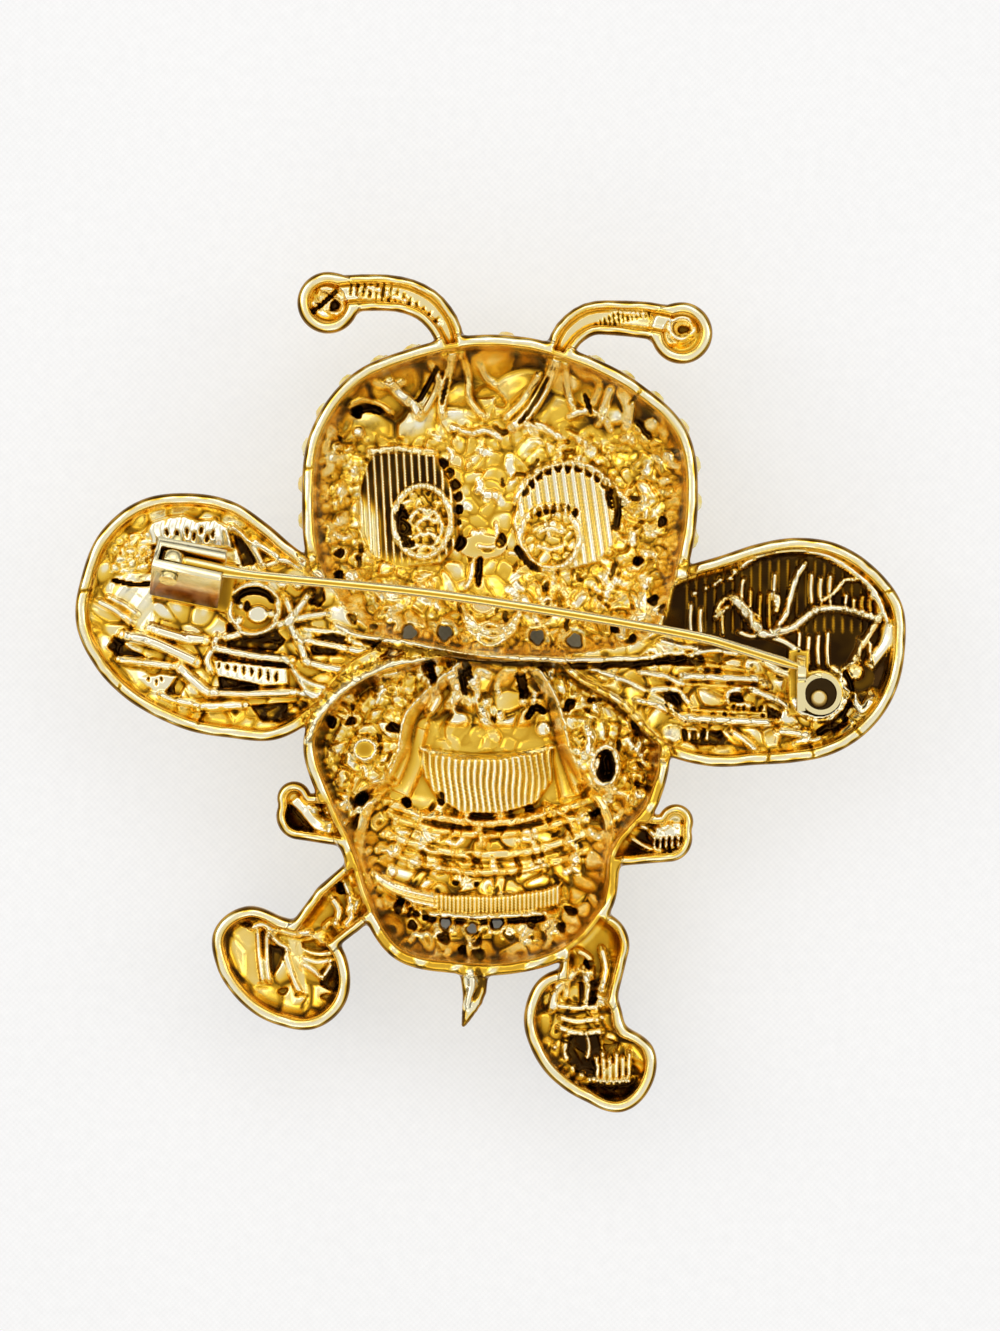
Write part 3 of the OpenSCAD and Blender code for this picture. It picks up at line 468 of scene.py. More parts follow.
def nuggets(f, k, pitch, high, seed, warp=None, holes=0.25, tilt=0.5, amber=0.5):  # cast lumps, with painted light and shade
    m = np.nonzero(k > 0.01)[0]
    x, y = f["x"][m], f["y"][m]
    if warp:
        x, y = warp(x, y)
    size = pitch / perMm
    bend = 2.1 / size
    x, y = (x + 0.2 * size * np.sin(bend * y + 1.9 * np.sin(0.61 * bend * x + seed)),
            y + 0.2 * size * np.sin(bend * x + 2.3 * np.sin(0.53 * bend * y + seed)))
    first, second, (dx, dy, r1, r2, r3, r4) = cells(x, y, size, seed)
    lump = np.maximum(0, 1 - (first / 0.7) ** 2) ** 0.8
    crease = smoothStep(0.0, 0.3, second - first)
    turn = r2 * 2 * math.pi
    slant = (dx * np.cos(turn) + dy * np.sin(turn)) * tilt * (0.4 + r3)
    high = high * 0.7
    rise = high * ((0.25 + 0.7 * r1) * lump * crease + slant * crease)
    facet = np.round((dx * np.sin(turn * 3) + dy * np.cos(turn * 2)) * 3) * 0.05 * high
    eye = (r4 < holes * 0.6) * smoothStep(0.24, 0.12, first)
    f["z"][m] += k[m] * (rise + facet - 0.4 * high * eye - 0.12 * high * (1 - crease))
    # painted shade in the creases and in pits on some lumps, and paler tops on some lumps as painted
    # highlights
    pale = (amber + 0.1 - 0.36 * smoothStep(0.6, 0.95, r3) * lump
            + (0.1 + 0.3 * smoothStep(0.6, 0.2, r1)) * (1 - crease) + 0.42 * eye)
    # a small painted highlight spot on some lumps; each lump paler on its upper left and darker on its lower
    # right and towards its edge, as painted light and shade
    paintedGlint = smoothStep(0.26, 0.1, np.hypot(dx + 0.14 * (r1 - 0.2), dy - 0.16 * r2)) * (r3 > 0.42)
    shade = (0.5 * dx - 0.86 * dy) * 0.36 * crease
    pale = pale + shade - 0.3 * paintedGlint * (0.4 + r4) + 0.16 * smoothStep(0.5, 0.62, first) * (r1 > 0.35)
    f["tone"][m] += (pale - f["tone"][m]) * k[m]


def flecks(f, k, box, count, seed):  # short raised folds painted bright as glints and sunken slits painted dark as shade, scattered over the lumps
    plain, shade = f["z"].copy(), f["tone"].copy()
    rng = np.random.default_rng(seed)
    for n in range(count):
        px, py = rng.uniform(box[0], box[2]), rng.uniform(box[1], box[3])
        a, long, bow = rng.uniform(0, math.pi), rng.uniform(3, 8), rng.uniform(-0.6, 0.6)
        u, v = long * math.cos(a), long * math.sin(a)
        points = ((px - u, py - v), (px - v * bow, py + u * bow), (px + u, py + v))
        if n % 7 < 5:
            ridge(f, points, rng.uniform(2.6, 5.2), rng.uniform(0.1, 0.28),
                  rng.choice((0.0, 0.05, 0.1, 0.4, 0.5)))
        else:
            ridge(f, points, rng.uniform(1.4, 2.8), -0.2, rng.uniform(0.6, 0.86))
    f["z"] = plain + (f["z"] - plain) * k
    f["tone"] = shade + (f["tone"] - shade) * k


def toTone(f, tone, k):  # draws the tone to a value where k is 1
    f["tone"] += (tone - f["tone"]) * k


def toHeight(f, height, k):
    f["z"] += (height - f["z"]) * k


def carve(f, tool, rows, *shared):  # one tool along a table, with the settings that its rows share
    for row in rows:
        tool(f, *row, *shared)


def each(f, tool, places, *shared):  # one tool at plain places
    for place in places:
        tool(f, place, *shared)


def work(f, rows):  # rows that start with their tool
    for tool, *settings in rows:
        tool(f, *settings)


def shadeCells(f, inside, outlines, pitch, seed):  # sunken cells, painted dark as shade
    for points in outlines:
        k = mask(f, points, 4) * inside
        f["z"] -= 0.35 * k
        nuggets(f, k, pitch, 0.2, seed, holes=0, tilt=1.4, amber=0.8)


def patches(f, inside, rows, soft):  # plain fields, the dark ones sunken and painted as shade, the pale ones raised and painted as highlights
    for points, tone in rows:
        k = mask(f, points, soft) * inside
        f["z"] -= (0.3 if tone > 0.5 else -0.1) * k
        toTone(f, tone, k)


def pupil(f, middle, half, level, tone, lumps, amber):  # an eye's inner oval
    turns = np.linspace(0, 6.1, 22)
    points = [(middle[0] + half[0] * math.cos(t), middle[1] - half[1] * math.sin(t)) for t in turns]
    inner = mask(f, points, 3)
    toHeight(f, level, inner)
    toTone(f, tone, inner)
    nuggets(f, inner, *lumps, tilt=1.2, amber=amber)


print("relief tools")


def baseBack(x, y, e):  # rims and plain hollows
    z = np.full(x.shape, -9.0)
    tops = {name: form["top"] for name, form in forms.items()}
    tops.update({name: limbTop for name in limbs})
    for name, top in tops.items():
        z = smoothMax(z, top - 8 * np.maximum(0, -e[name]), 0.08)
    g, hollows = outlineField(x, y, e), hollowFields(e)
    h = np.full(x.shape, -9.0)
    for v in hollows.values():
        h = np.maximum(h, v)
    sway = np.sin(1.9 * x + 1.3 * np.sin(1.1 * y)) * np.sin(1.7 * y + 1.7 * np.sin(0.9 * x))
    z = z - roundEdge(g, 0.43 + 0.07 * sway) - roundEdge(-h, 0.33 - 0.05 * sway) * (h < 0)
    floor = np.full(x.shape, 99.0)
    for name, v in hollows.items():
        if name in forms:
            form = forms[name]
            low = form["top"] - 0.2 - bowlDepth(form, x, y, rimW, form["deep"] - floorT - 0.2)
        else:
            d, _, r = alongPath(limbs[name], x, y)
            s = np.clip(d / np.maximum(r - rimW * 0.8, 0.05), 0, 1)
            low = limbTop - 0.2 - (limbDeep[name] - floorT - 0.2) * np.maximum(0, 1 - s**2.6) ** 0.4
        floor = np.where(v > 0, np.minimum(floor, low), floor)
    return np.minimum(z, floor), g, h


wingFloor, headFloor, bodyFloor = 6.3, 2.2, 1.55
padTop = 7.05


# Outlines are picture points. Rows are (points, half width, height, tone) for a ridge, (place, half size)
# for a pit and (place, radius) for a bead, or a tool with all its settings.
headMarks = {
    "leftPanel": ((372, 449), (434, 452), (446, 474), (456, 500), (458, 540), (440, 562), (398, 566),
        (372, 556), (360, 530), (356, 505), (362, 474)),
    "rightPanel": ((518, 500), (528, 476), (548, 462), (572, 457), (598, 464), (614, 482), (620, 508),
        (616, 540), (600, 560), (572, 568), (540, 566), (520, 545), (513, 520)),
    "crownFolds": ((((453, 352), (448, 372), (442, 392), (441, 412)), 5, 0.55, 0.3),
        (((462, 352), (468, 372), (470, 396), (482, 412)), 4, 0.35, 0.45),
        (((558, 356), (548, 380), (532, 406), (512, 424)), 6, 0.6, 0.2),
        (((540, 372), (524, 396), (506, 414)), 4, 0.4, 0.35),
        (((566, 358), (568, 384), (574, 404)), 4, 0.4, 0.3),
        (((389, 381), (399, 392), (412, 402), (418, 412)), 6, 0.6, 0.05),
        (((372, 380), (386, 384), (402, 380)), 4, 0.35, 0.3),
        (((430, 362), (438, 378), (430, 398), (420, 412)), 4, 0.45, 0.35),
        (((611, 387), (606, 404), (600, 420)), 5, 0.5, 0.1),
        (((622, 390), (630, 406), (628, 422)), 6, 0.45, 0.12),
        (((571, 413), (586, 408), (602, 414), (612, 426)), 4, 0.4, 0.12),
        (((592, 372), (600, 384), (594, 400)), 4, 0.35, 0.4),
        (((480, 362), (486, 374), (494, 380)), 4, 0.25, 0.35),
        (((349, 404), (362, 398), (378, 402), (390, 410)), 3, 0.4, 0.55),
        (((452, 424), (470, 430), (486, 426), (500, 434)), 4, 0.4, 0.15),
        (((524, 420), (544, 424), (560, 434)), 4, 0.35, 0.15)),
    "crownSlits": ((((352, 410), (366, 405), (380, 408)), 4), (((447, 376), (441, 400)), 2.5),
        (((520, 420), (536, 398), (548, 376)), 2.5), (((418, 396), (426, 384), (436, 366)), 3),
        (((586, 392), (592, 410)), 2.5), (((640, 420), (652, 436)), 3)),
    "crownHollow": (((486, 389), (13, 8)), ((500, 398), (8, 7))),
    "leftEyeTop": ((ridge, ((368, 449), (400, 446), (434, 450)), 4, 0.4, 0.3),),
    "leftEyeOval": ((ridge, ((398, 508), (404, 530), (408, 546)), 7, -0.3, 0.97),
        (loop, (421, 519), (29, 36), 3.6, 0.5, 0.08),
        (loop, (424, 526), (17, 20), 2.6, 0.32, 0.1, 300, 520)),
    "leftEyeTicks": (((408, 536), (424, 532), (438, 534)), ((414, 524), (424, 516), (436, 520)),
        ((406, 546), (422, 544), (440, 548)), ((418, 506), (428, 512), (436, 506))),
    "rightEyeArch": ((loop, (567, 507), (51, 47), 4, 0.35, 0.1, 5, 172),
        (ridge, ((614, 486), (619, 506), (618, 526)), 4, -0.35, 0.97)),
    "rightEyeOval": ((loop, (550, 536), (30, 32), 3.4, 0.45, 0.06),),
    "rightEyeTicks": (((540, 530), (550, 526), (562, 530)), ((538, 544), (552, 548), (566, 542)),
        ((546, 520), (550, 534))),
    "rightEyeFoot": ((ridge, ((518, 546), (528, 560), (540, 568)), 3.5, -0.35, 0.95),),
    "nose": ((disc, (482, 545), (26, 13), headFloor + 0.35, 0.42), (pit, (460, 541), (6, 8), 0.45, 0.95),
        (pit, (501, 539), (6, 8), 0.45, 0.95), (pit, (487, 548), (7, 2.4), 0.2, 0.9),
        (ridge, ((478, 544), (488, 546), (498, 543)), 2.4, 0.2, 0.1),
        (ridge, ((480, 557), (479, 570), (478, 583)), 3, -0.4, 0.95),
        (ridge, ((472, 560), (471, 574), (466, 586)), 3, 0.3, 0.12)),
    "smileMiddle": ((disc, (483, 604), (12, 9), headFloor + 0.6, 0.1),),
    "beads": (((645, 497), 6), ((650, 400), 5), ((652, 423), 7), ((628, 500), 6), ((340, 490), 6),
        ((331, 455), 7), ((352, 468), 5), ((669, 455), 6), ((618, 580), 6), ((338, 520), 6), ((350, 575), 7),
        ((668, 420), 6), ((330, 430), 6), ((357, 430), 6), ((588, 440), 6), ((646, 585), 5)),
    "rimPits": ((337, 575), (338, 552), (345, 400), (356, 410), (664, 520), (640, 560), (655, 600),
        (664, 610), (352, 618), (633, 640), (616, 628), (372, 628)),
}


def headRelief(f, inHead):
    toTone(f, 0.5, inHead)
    px, py = pictureOf(f["x"], f["y"])
    crown = smoothStep(446, 404, py + 18 * np.cos((px - 500) / 36) + 0.06 * np.abs(px - 500))
    leftPanel = mask(f, headMarks["leftPanel"], 3)
    rightPanel = mask(f, headMarks["rightPanel"], 3)
    lumps = inHead * (1 - crown) * (1 - leftPanel) * (1 - rightPanel)
    calm = np.exp(-((px - 486) / 62) ** 4 - ((py - 520) / 90) ** 4)
    nuggets(f, lumps * (1 - 0.55 * calm), 18, 0.42, 3, tilt=0.9, amber=0.42)
    nuggets(f, lumps * (1 - calm) * 0.6, 9, 0.14, 8, holes=0.3, amber=0.36)
    flecks(f, lumps, (305, 425, 685, 650), 260, 12)
    dents = inHead * crown
    nuggets(f, dents, 40, 0.4, 5, holes=0, tilt=1.2, amber=0.42)
    carve(f, ridge, headMarks["crownFolds"])
    # slits painted dark as shade
    carve(f, ridge, headMarks["crownSlits"], -0.35, 0.92)
    carve(f, pit, headMarks["crownHollow"], 0.22, 0.7)
    f["z"] += 0.12 * crown * inHead * np.sin(px * 0.13 + py * 0.05) * np.cos(py * 0.17)
    # left eye: bars above, mostly painted dark as shade with thin pale lines, and a row of pits painted dark
    # as shade, then the pupil's oval
    flat = headFloor + 0.45
    toHeight(f, flat + 0.35 * np.hypot((px - 404) / 50, (py - 508) / 64) ** 2, leftPanel)
    stripes(f, leftPanel * smoothStep(566, 545, py), 7.6, 0.3, (0.12, 0.97), turn=3, share=0.36)
    toTone(f, 0.12, leftPanel * smoothStep(520, 550, py + 0.9 * (404 - px)) * smoothStep(384, 372, px))
    work(f, headMarks["leftEyeTop"])
    for k in range(7):
        a = math.radians(52 - k * 15)
        pit(f, (418 + 40 * math.cos(a), 500 - 50 * math.sin(a)), (4.5, 6), 0.35, 0.95)
    pupil(f, (421, 520), (26, 34), flat - 0.1, 0.5, (11, 0.4, 21), 0.4)
    work(f, headMarks["leftEyeOval"])
    each(f, ridge, headMarks["leftEyeTicks"], 2.4, 0.3, 0.05)
    # right eye: bars painted pale as highlights under a toothed arch whose teeth are pits painted dark as
    # shade
    toHeight(f, flat + 0.3 * np.hypot((px - 566) / 50, (py - 512) / 62) ** 2, rightPanel)
    stripes(f, rightPanel, 9.4, 0.22, (0.0, 0.34), turn=8, share=0.72)
    for k in range(12):
        a = math.radians(158 - k * 14)
        pit(f, (568 + 45 * math.cos(a), 503 - 40 * math.sin(a)), (4.6, 6.5), 0.42, 1)
    work(f, headMarks["rightEyeArch"])
    pupil(f, (551, 536), (26, 28), flat - 0.1, 0.42, (12, 0.36, 25), 0.3)
    work(f, headMarks["rightEyeOval"])
    for k in range(7):
        pit(f, (532 + k * 7.5, 511 - 5 * math.sin(k * 0.5)), (3, 6), 0.3, 0.97)
    each(f, ridge, headMarks["rightEyeTicks"], 2.6, 0.3, 0.04)
    work(f, headMarks["rightEyeFoot"])
    # nose and smile, the nostrils pits painted dark as shade and the smile's ridges painted pale as
    # highlights
    work(f, headMarks["nose"])
    for k in range(4):
        ridge(f, ((462 + 4 * k, 606 + 5 * k), (468 + 4 * k, 628 - k), (490, 644 - 7 * k),
                  (512 - 3 * k, 632 - 2 * k), (520 - 4 * k, 610 + 4 * k)), 2.6, 0.34, 0.12 + 0.1 * (k % 2))
    work(f, headMarks["smileMiddle"])
    # beads painted pale as highlights, and pits by the rim painted dark as shade
    carve(f, bead, headMarks["beads"], 0.4)
    each(f, pit, headMarks["rimPits"], (5.5, 6), 0.45, 0.95)


bodyMarks = {
    "torso": ((463, 660), (432, 690), (407, 717), (402, 750), (386, 783), (352, 800), (340, 880), (372, 930),
        (450, 985), (540, 985), (600, 930), (640, 860), (625, 800), (588, 788), (568, 755), (555, 704),
        (532, 660)),
    "thorax": ((440, 668), (535, 668), (546, 704), (552, 745), (530, 752), (440, 752), (424, 720)),
    "torsoWalls": ((((463, 664), (440, 684), (412, 712), (404, 736), (402, 756), (392, 782)), 7, 0.9, 0.25),
        (((532, 664), (548, 690), (558, 716), (566, 750), (580, 790)), 7, 0.9, 0.3),
        (((424, 730), (412, 764), (398, 796)), 12, 0.5, 0.48),
        (((556, 736), (566, 768), (572, 800)), 12, 0.5, 0.5),
        (((386, 786), (372, 800), (362, 822), (358, 860), (368, 890)), 6, 0.6, 0.35),
        (((590, 790), (604, 806), (612, 840), (606, 880)), 6, 0.6, 0.35),
        (((352, 815), (364, 806), (376, 800)), 4, 0.5, 0.05),
        (((430, 684), (436, 698), (428, 712)), 6, 0.6, 0.05),
        (((452, 676), (456, 692), (450, 706)), 7, 0.7, 0.03),
        (((482, 712), (488, 726), (496, 738)), 6, 0.6, 0.04)),
    "slits": ((((430, 664), (433, 684)), 3.5), (((461, 670), (463, 690)), 3.5),
        (((465, 662), (468, 676)), 4), (((521, 676), (525, 694)), 5),
        (((528, 718), (536, 708), (544, 712)), 3.5)),
    "portholes": ((disc, (364, 750), (12, 11.5), 6.2, 0.72), (loop, (364, 750), (12, 11), 2.6, 0.3, 0.08),
        (loop, (606, 767), (13, 19), 3.6, 0.7, 0.1), (pit, (607, 768), (9, 15), 0.9, 0.97),
        (ridge, ((588, 728), (592, 742), (586, 756)), 6, 0.7, 0.03)),
    "band": ((418, 752), (430, 755), (460, 760), (500, 760), (535, 755), (556, 750), (552, 784), (536, 806),
        (500, 816), (460, 815), (436, 800), (424, 780)),
    "bandEdges": ((ridge, ((424, 816), (452, 822), (484, 826), (520, 822), (548, 812)), 5, 0.45, 0.42),
        (ridge, ((420, 750), (450, 757), (484, 759), (520, 756), (552, 748)), 2.5, 0.3, 0.2)),
    "plainPanel": ((428, 722), (470, 728), (540, 726), (558, 745), (540, 752), (470, 756), (422, 748)),
    "belt": ((372, 872), (392, 884), (420, 894), (450, 899), (500, 900), (545, 893), (562, 886), (560, 908),
        (530, 914), (490, 917), (450, 916), (416, 908), (390, 896), (374, 884)),
    "beltEdges": ((ridge, ((420, 916), (450, 919), (490, 920), (545, 916)), 3, 0.4, 0.08),
        (ridge, ((424, 922), (484, 926), (545, 922)), 3, -0.3, 0.9)),
    "pits": (((397, 910), (6, 7)), ((411, 928), (5, 6)), ((424, 918), (4, 6)), ((443, 941), (7, 6)),
        ((476, 943), (6, 8)), ((462, 953), (5, 5)), ((509, 938), (7, 7)), ((478, 956), (9, 5)),
        ((532, 926), (6, 5)), ((572, 914), (8, 5)), ((562, 930), (5, 6)), ((455, 887), (4, 3)),
        ((476, 888), (3, 3)), ((440, 800), (5, 7)), ((405, 805), (5, 6)), ((360, 800), (5, 7)),
        ((330, 722), (6, 7)), ((392, 728), (7, 6)), ((350, 722), (6, 5)), ((620, 700), (6, 6)),
        ((570, 706), (6, 7)), ((596, 700), (8, 4)), ((637, 726), (6, 6))),
    "beads": (((471, 942), 6), ((510, 936), 5), ((437, 936), 6), ((392, 853), 8), ((413, 866), 8),
        ((345, 806), 7), ((610, 800), 7), ((586, 820), 7), ((576, 862), 7), ((640, 795), 6), ((544, 730), 8),
        ((487, 702), 6), ((524, 702), 5), ((500, 716), 5), ((555, 930), 6), ((355, 880), 7), ((350, 900), 6),
        ((545, 870), 6), ((420, 700), 6), ((350, 700), 6), ((380, 690), 6)),
}


def bodyRelief(f, inBody):
    px, py = pictureOf(f["x"], f["y"])
    toTone(f, 0.5, inBody)
    torso = mask(f, bodyMarks["torso"], 12)
    shoulder = inBody * (1 - torso) * smoothStep(835, 800, py)
    f["z"] = np.where(shoulder > 0, np.maximum(f["z"], f["z"] * (1 - shoulder) + shoulder * 4.9), f["z"])
    nuggets(f, shoulder, 18, 0.5, 31, tilt=0.9, amber=0.36)
    nuggets(f, shoulder * 0.6, 9, 0.14, 32, amber=0.34)
    thorax = inBody * torso * mask(f, bodyMarks["thorax"], 8)
    nuggets(f, thorax, 25, 0.6, 33, tilt=1.0, amber=0.4)

    def sag(x, y):
        return x, y + 0.017 * (x + 0.3) ** 2

    across = (px - 486) ** 2
    arcs = (inBody * torso * smoothStep(800, 822, py - 0.0016 * across)
            * smoothStep(900, 882, py + 0.002 * across))
    sides = inBody * torso * smoothStep(795, 815, py) * smoothStep(930, 905, py)
    nuggets(f, np.maximum(arcs, sides), 19, 0.42, 34, warp=sag, tilt=0.9, amber=0.42)
    # the stones' sagging rows, with grooves between them painted dark as shade
    for k, (top, tone) in enumerate(((826, 0.4), (838, 0.5), (858, 0.36), (876, 0.45))):
        ridge(f, ((384, top - 22), (430, top - 6), (486, top), (540, top - 6), (590, top - 24)),
              4.5 - 0.5 * (k % 2), 0.3, tone)
    for top in (832, 866):
        ridge(f, ((410, top - 13), (436, top - 6), (486, top), (530, top - 5), (560, top - 13)),
              1.7, -0.15, 0.66)
    low = inBody * smoothStep(914, 926, py + 0.0012 * across)
    nuggets(f, low, 20, 0.45, 36, warp=sag, tilt=0.8, holes=0.55, amber=0.43)
    flecks(f, np.minimum(1, shoulder + thorax), (300, 660, 690, 800), 130, 37)
    flecks(f, np.minimum(1, np.maximum(arcs, sides) + low), (335, 800, 640, 975), 150, 38)
    # the torso's smooth walls
    carve(f, ridge, bodyMarks["torsoWalls"])
    # slits and the portholes' pits painted dark as shade
    carve(f, ridge, bodyMarks["slits"], -0.5, 0.97)
    work(f, bodyMarks["portholes"])
    # the upper band: upright bars painted pale as highlights on a smooth panel, the grooves between them
    # darker as painted shade
    band = mask(f, bodyMarks["band"], 3)
    toHeight(f, bodyFloor + 0.9 - 0.5 * ((px - 484) / 68) ** 2, band)
    centre = np.exp(-((px - 480) / 44) ** 4)
    stripes(f, band, 6.4, 0.2, (0.0, 0.66), turn=2, share=0.7, wander=1.2)
    f["tone"] += (0.5 - f["tone"]) * band * (1 - centre) * 0.75
    work(f, bodyMarks["bandEdges"])
    smooth = mask(f, bodyMarks["plainPanel"], 6)
    f["z"] += (bodyFloor + 0.35 - f["z"]) * smooth * 0.7
    f["tone"] += (0.52 - f["tone"]) * smooth * 0.8
    # the lower band: lines along its left, bars across its middle
    belt = mask(f, bodyMarks["belt"], 3)
    toHeight(f, bodyFloor + 1.0 + 0.0002 * (px - 480) ** 2, belt)
    toTone(f, 0.48, belt)
    stripes(f, belt * smoothStep(428, 440, px), 4.2, 0.16, (0.25, 0.72), turn=0, share=0.6)
    for k in range(4):
        ridge(f, ((374, 874 + 4 * k), (398, 887 + 4.4 * k), (434, 896 + 4.6 * k)),
              2, 0.25, 0.2 if k % 2 else 0.45)
    work(f, bodyMarks["beltEdges"])
    # pits painted dark as shade, beads painted pale as highlights
    carve(f, pit, bodyMarks["pits"], 0.45, 0.95)
    carve(f, bead, bodyMarks["beads"], 0.42)


leftWingMarks = {
    "shadedCells": (((225, 624), (262, 618), (284, 640), (276, 650), (228, 648)),
        ((306, 640), (334, 632), (352, 640), (344, 656), (312, 654)),
        ((214, 664), (238, 676), (262, 684), (248, 692), (220, 690)),
        ((250, 706), (306, 702), (312, 720), (262, 722)),
        ((112, 636), (130, 650), (150, 660), (118, 660), (106, 646)),
        ((170, 676), (184, 684), (176, 700), (164, 692)),
        ((232, 530), (240, 534), (254, 562), (242, 566), (236, 548)),
        ((306, 590), (322, 584), (324, 600), (312, 612))),
    "scallop": ((141, 536), (150, 522), (166, 516), (182, 514), (198, 520), (214, 518), (226, 526),
        (232, 548), (206, 546), (170, 544), (146, 544)),
    "scallopSlots": ((166, 532), (176, 534), (186, 532), (193, 536), (200, 530), (206, 538), (212, 534)),
    "patch": ((108, 560), (112, 544), (124, 534), (146, 532), (152, 550), (150, 566), (128, 572),
        (110, 572)),
    "field": ((108, 580), (128, 572), (150, 574), (152, 612), (146, 632), (128, 620), (110, 600)),
    "steps": ((212, 660), (286, 668), (288, 684), (262, 686), (216, 676)),
    "ribs": ((((97, 601), (114, 610), (131, 623)), 4, 0.85, 0.12),
        (((106, 596), (122, 604), (136, 614)), 3, 0.7, 0.2),
        (((122, 635), (146, 640), (170, 650), (195, 662)), 6.5, 0.95, 0.05),
        (((150, 628), (176, 636), (204, 640)), 6, 0.7, 0.12),
        (((118, 659), (144, 662), (170, 666)), 4.5, 0.8, 0.12),
        (((177, 666), (190, 678), (204, 690), (213, 694)), 6, 1.0, 0.15),
        (((213, 692), (250, 694), (293, 692)), 4.5, 1.0, 0.05),
        (((293, 692), (322, 696), (340, 690)), 4, 0.9, 0.1),
        (((195, 707), (218, 706), (243, 705)), 5, 0.7, 0.06),
        (((215, 648), (250, 655), (291, 660)), 4.5, 1.0, 0.05),
        (((216, 656), (250, 663), (290, 667)), 1.6, -0.4, 0.9),
        (((288, 621), (300, 606), (309, 594)), 4.5, 0.95, 0.12),
        (((288, 621), (308, 616), (327, 613)), 4, 0.9, 0.12),
        (((288, 622), (298, 642), (306, 662)), 5, 1.0, 0.1),
        (((288, 621), (260, 630), (225, 637)), 5, 0.9, 0.1),
        (((286, 600), (290, 612), (288, 622)), 4, 0.7, 0.1),
        (((306, 662), (330, 668), (360, 672), (400, 674)), 4.5, 1.0, 0.12),
        (((300, 640), (330, 645), (362, 652), (398, 656)), 4, 0.9, 0.06),
        (((334, 624), (362, 636), (396, 640)), 3.5, 0.7, 0.1),
        (((262, 566), (288, 560), (318, 568)), 3, 0.5, 0.3),
        (((230, 526), (250, 545), (262, 566)), 4, 0.75, 0.2),
        (((252, 540), (276, 556), (300, 566)), 4, 0.6, 0.12),
        (((138, 560), (150, 554), (156, 548)), 2.5, 0.5, 0.5),
        (((112, 580), (132, 584), (150, 583)), 2.5, -0.5, 0.9),
        (((160, 694), (176, 700), (196, 704)), 4.5, 0.7, 0.05),
        (((282, 656), (292, 668), (300, 684), (312, 696)), 3, 0.8, 0.1),
        (((216, 636), (212, 648), (206, 660), (210, 672)), 4, 0.7, 0.1),
        (((346, 640), (380, 648), (420, 652)), 3, 0.6, 0.1)),
    "wedge": ((138, 678), (160, 674), (176, 676), (166, 690), (150, 690)),
    "wedgeSlots": ((147, 679), (155, 682), (160, 679)),
    "rosette": ((disc, (253, 610), (25, 24), wingFloor + 0.25, 0.5),
        (loop, (253, 609), (25, 25), 3.6, 0.75, 0.12), (loop, (253, 603), (20, 13), 4, -0.3, 0.97, 15, 165),
        (disc, (257, 614), (12, 10), wingFloor + 0.75, 0.02, 0.3)),
    "rosetteBeads": (((240, 606), 4), ((238, 620), 5), ((270, 614), 5)),
    "rosetteEnds": ((pit, (246, 606), (4, 5), 0.3, 0.9), (bead, (282, 583), 6, 0.6, 0.02),
        (bead, (297, 584), 6, 0.6, 0.02)),
}


def leftWingRelief(f, inWing):
    toTone(f, 0.42, inWing)
    px, py = pictureOf(f["x"], f["y"])
    nuggets(f, inWing, 26, 0.25, 41, holes=0.1, tilt=1.1, amber=0.3)
    # painted shade: dark sunken cells between the ribs
    shadeCells(f, inWing, leftWingMarks["shadedCells"], 14, 44)
    # the scallop, patch and field are raised and painted pale as highlights, the scallop's slots dark as
    # shade
    scallop = mask(f, leftWingMarks["scallop"], 3) * inWing
    toHeight(f, wingFloor + 0.75, scallop)
    f["z"] += (0.1 * scallop * np.sin(px * 0.42 + 0.5 * np.sin(py * 0.3))
               + 0.16 * scallop * np.cos((py - 528) / 9))
    toTone(f, 0.02, scallop)
    each(f, pit, leftWingMarks["scallopSlots"], (2.2, 5), 0.4, 0.85)
    patch = mask(f, leftWingMarks["patch"], 3) * inWing
    toHeight(f, wingFloor + 0.45, patch)
    nuggets(f, patch, 9, 0.4, 43, holes=0.4, tilt=1.2, amber=0.2)
    field = mask(f, leftWingMarks["field"], 3) * inWing
    f["z"] += (wingFloor + 0.3 - f["z"]) * field * 0.7
    f["z"] += 0.14 * field * np.sin(px * 0.22 + py * 0.16)
    f["tone"] += (0.03 - f["tone"]) * field * 0.8
    # the steps painted pale as a highlight, with slots between them painted dark as shade
    steps = mask(f, leftWingMarks["steps"], 3) * inWing
    toHeight(f, wingFloor + 0.6, steps)
    f["z"] += 0.08 * steps * np.sin(px * 0.38)
    toTone(f, 0.02, steps)
    for k in range(8):
        pit(f, (218 + 8.2 * k, 665 + 1.7 * k), (1.9, 3.4 + 0.5 * k), 0.45, 0.97)
    for k in range(7):
        ridge(f, ((292 + 2 * k, 668 + 2.5 * k), (306 + 5 * k, 690), (320 + 4 * k, 706 - k)), 2, 0.45, 0.1)
    carve(f, ridge, leftWingMarks["ribs"])
    # the wedge painted pale as a highlight, its slots dark as shade
    tri = mask(f, leftWingMarks["wedge"], 3) * inWing
    toHeight(f, wingFloor + 0.5, tri)
    toTone(f, 0.06, tri)
    each(f, pit, leftWingMarks["wedgeSlots"], (1.6, 3.4), 0.3, 0.9)
    # the rosette: a raised cap painted pale as a highlight, the inner top of its loop painted dark as shade
    work(f, leftWingMarks["rosette"])
    carve(f, bead, leftWingMarks["rosetteBeads"], 0.4, 0.1)
    work(f, leftWingMarks["rosetteEnds"])


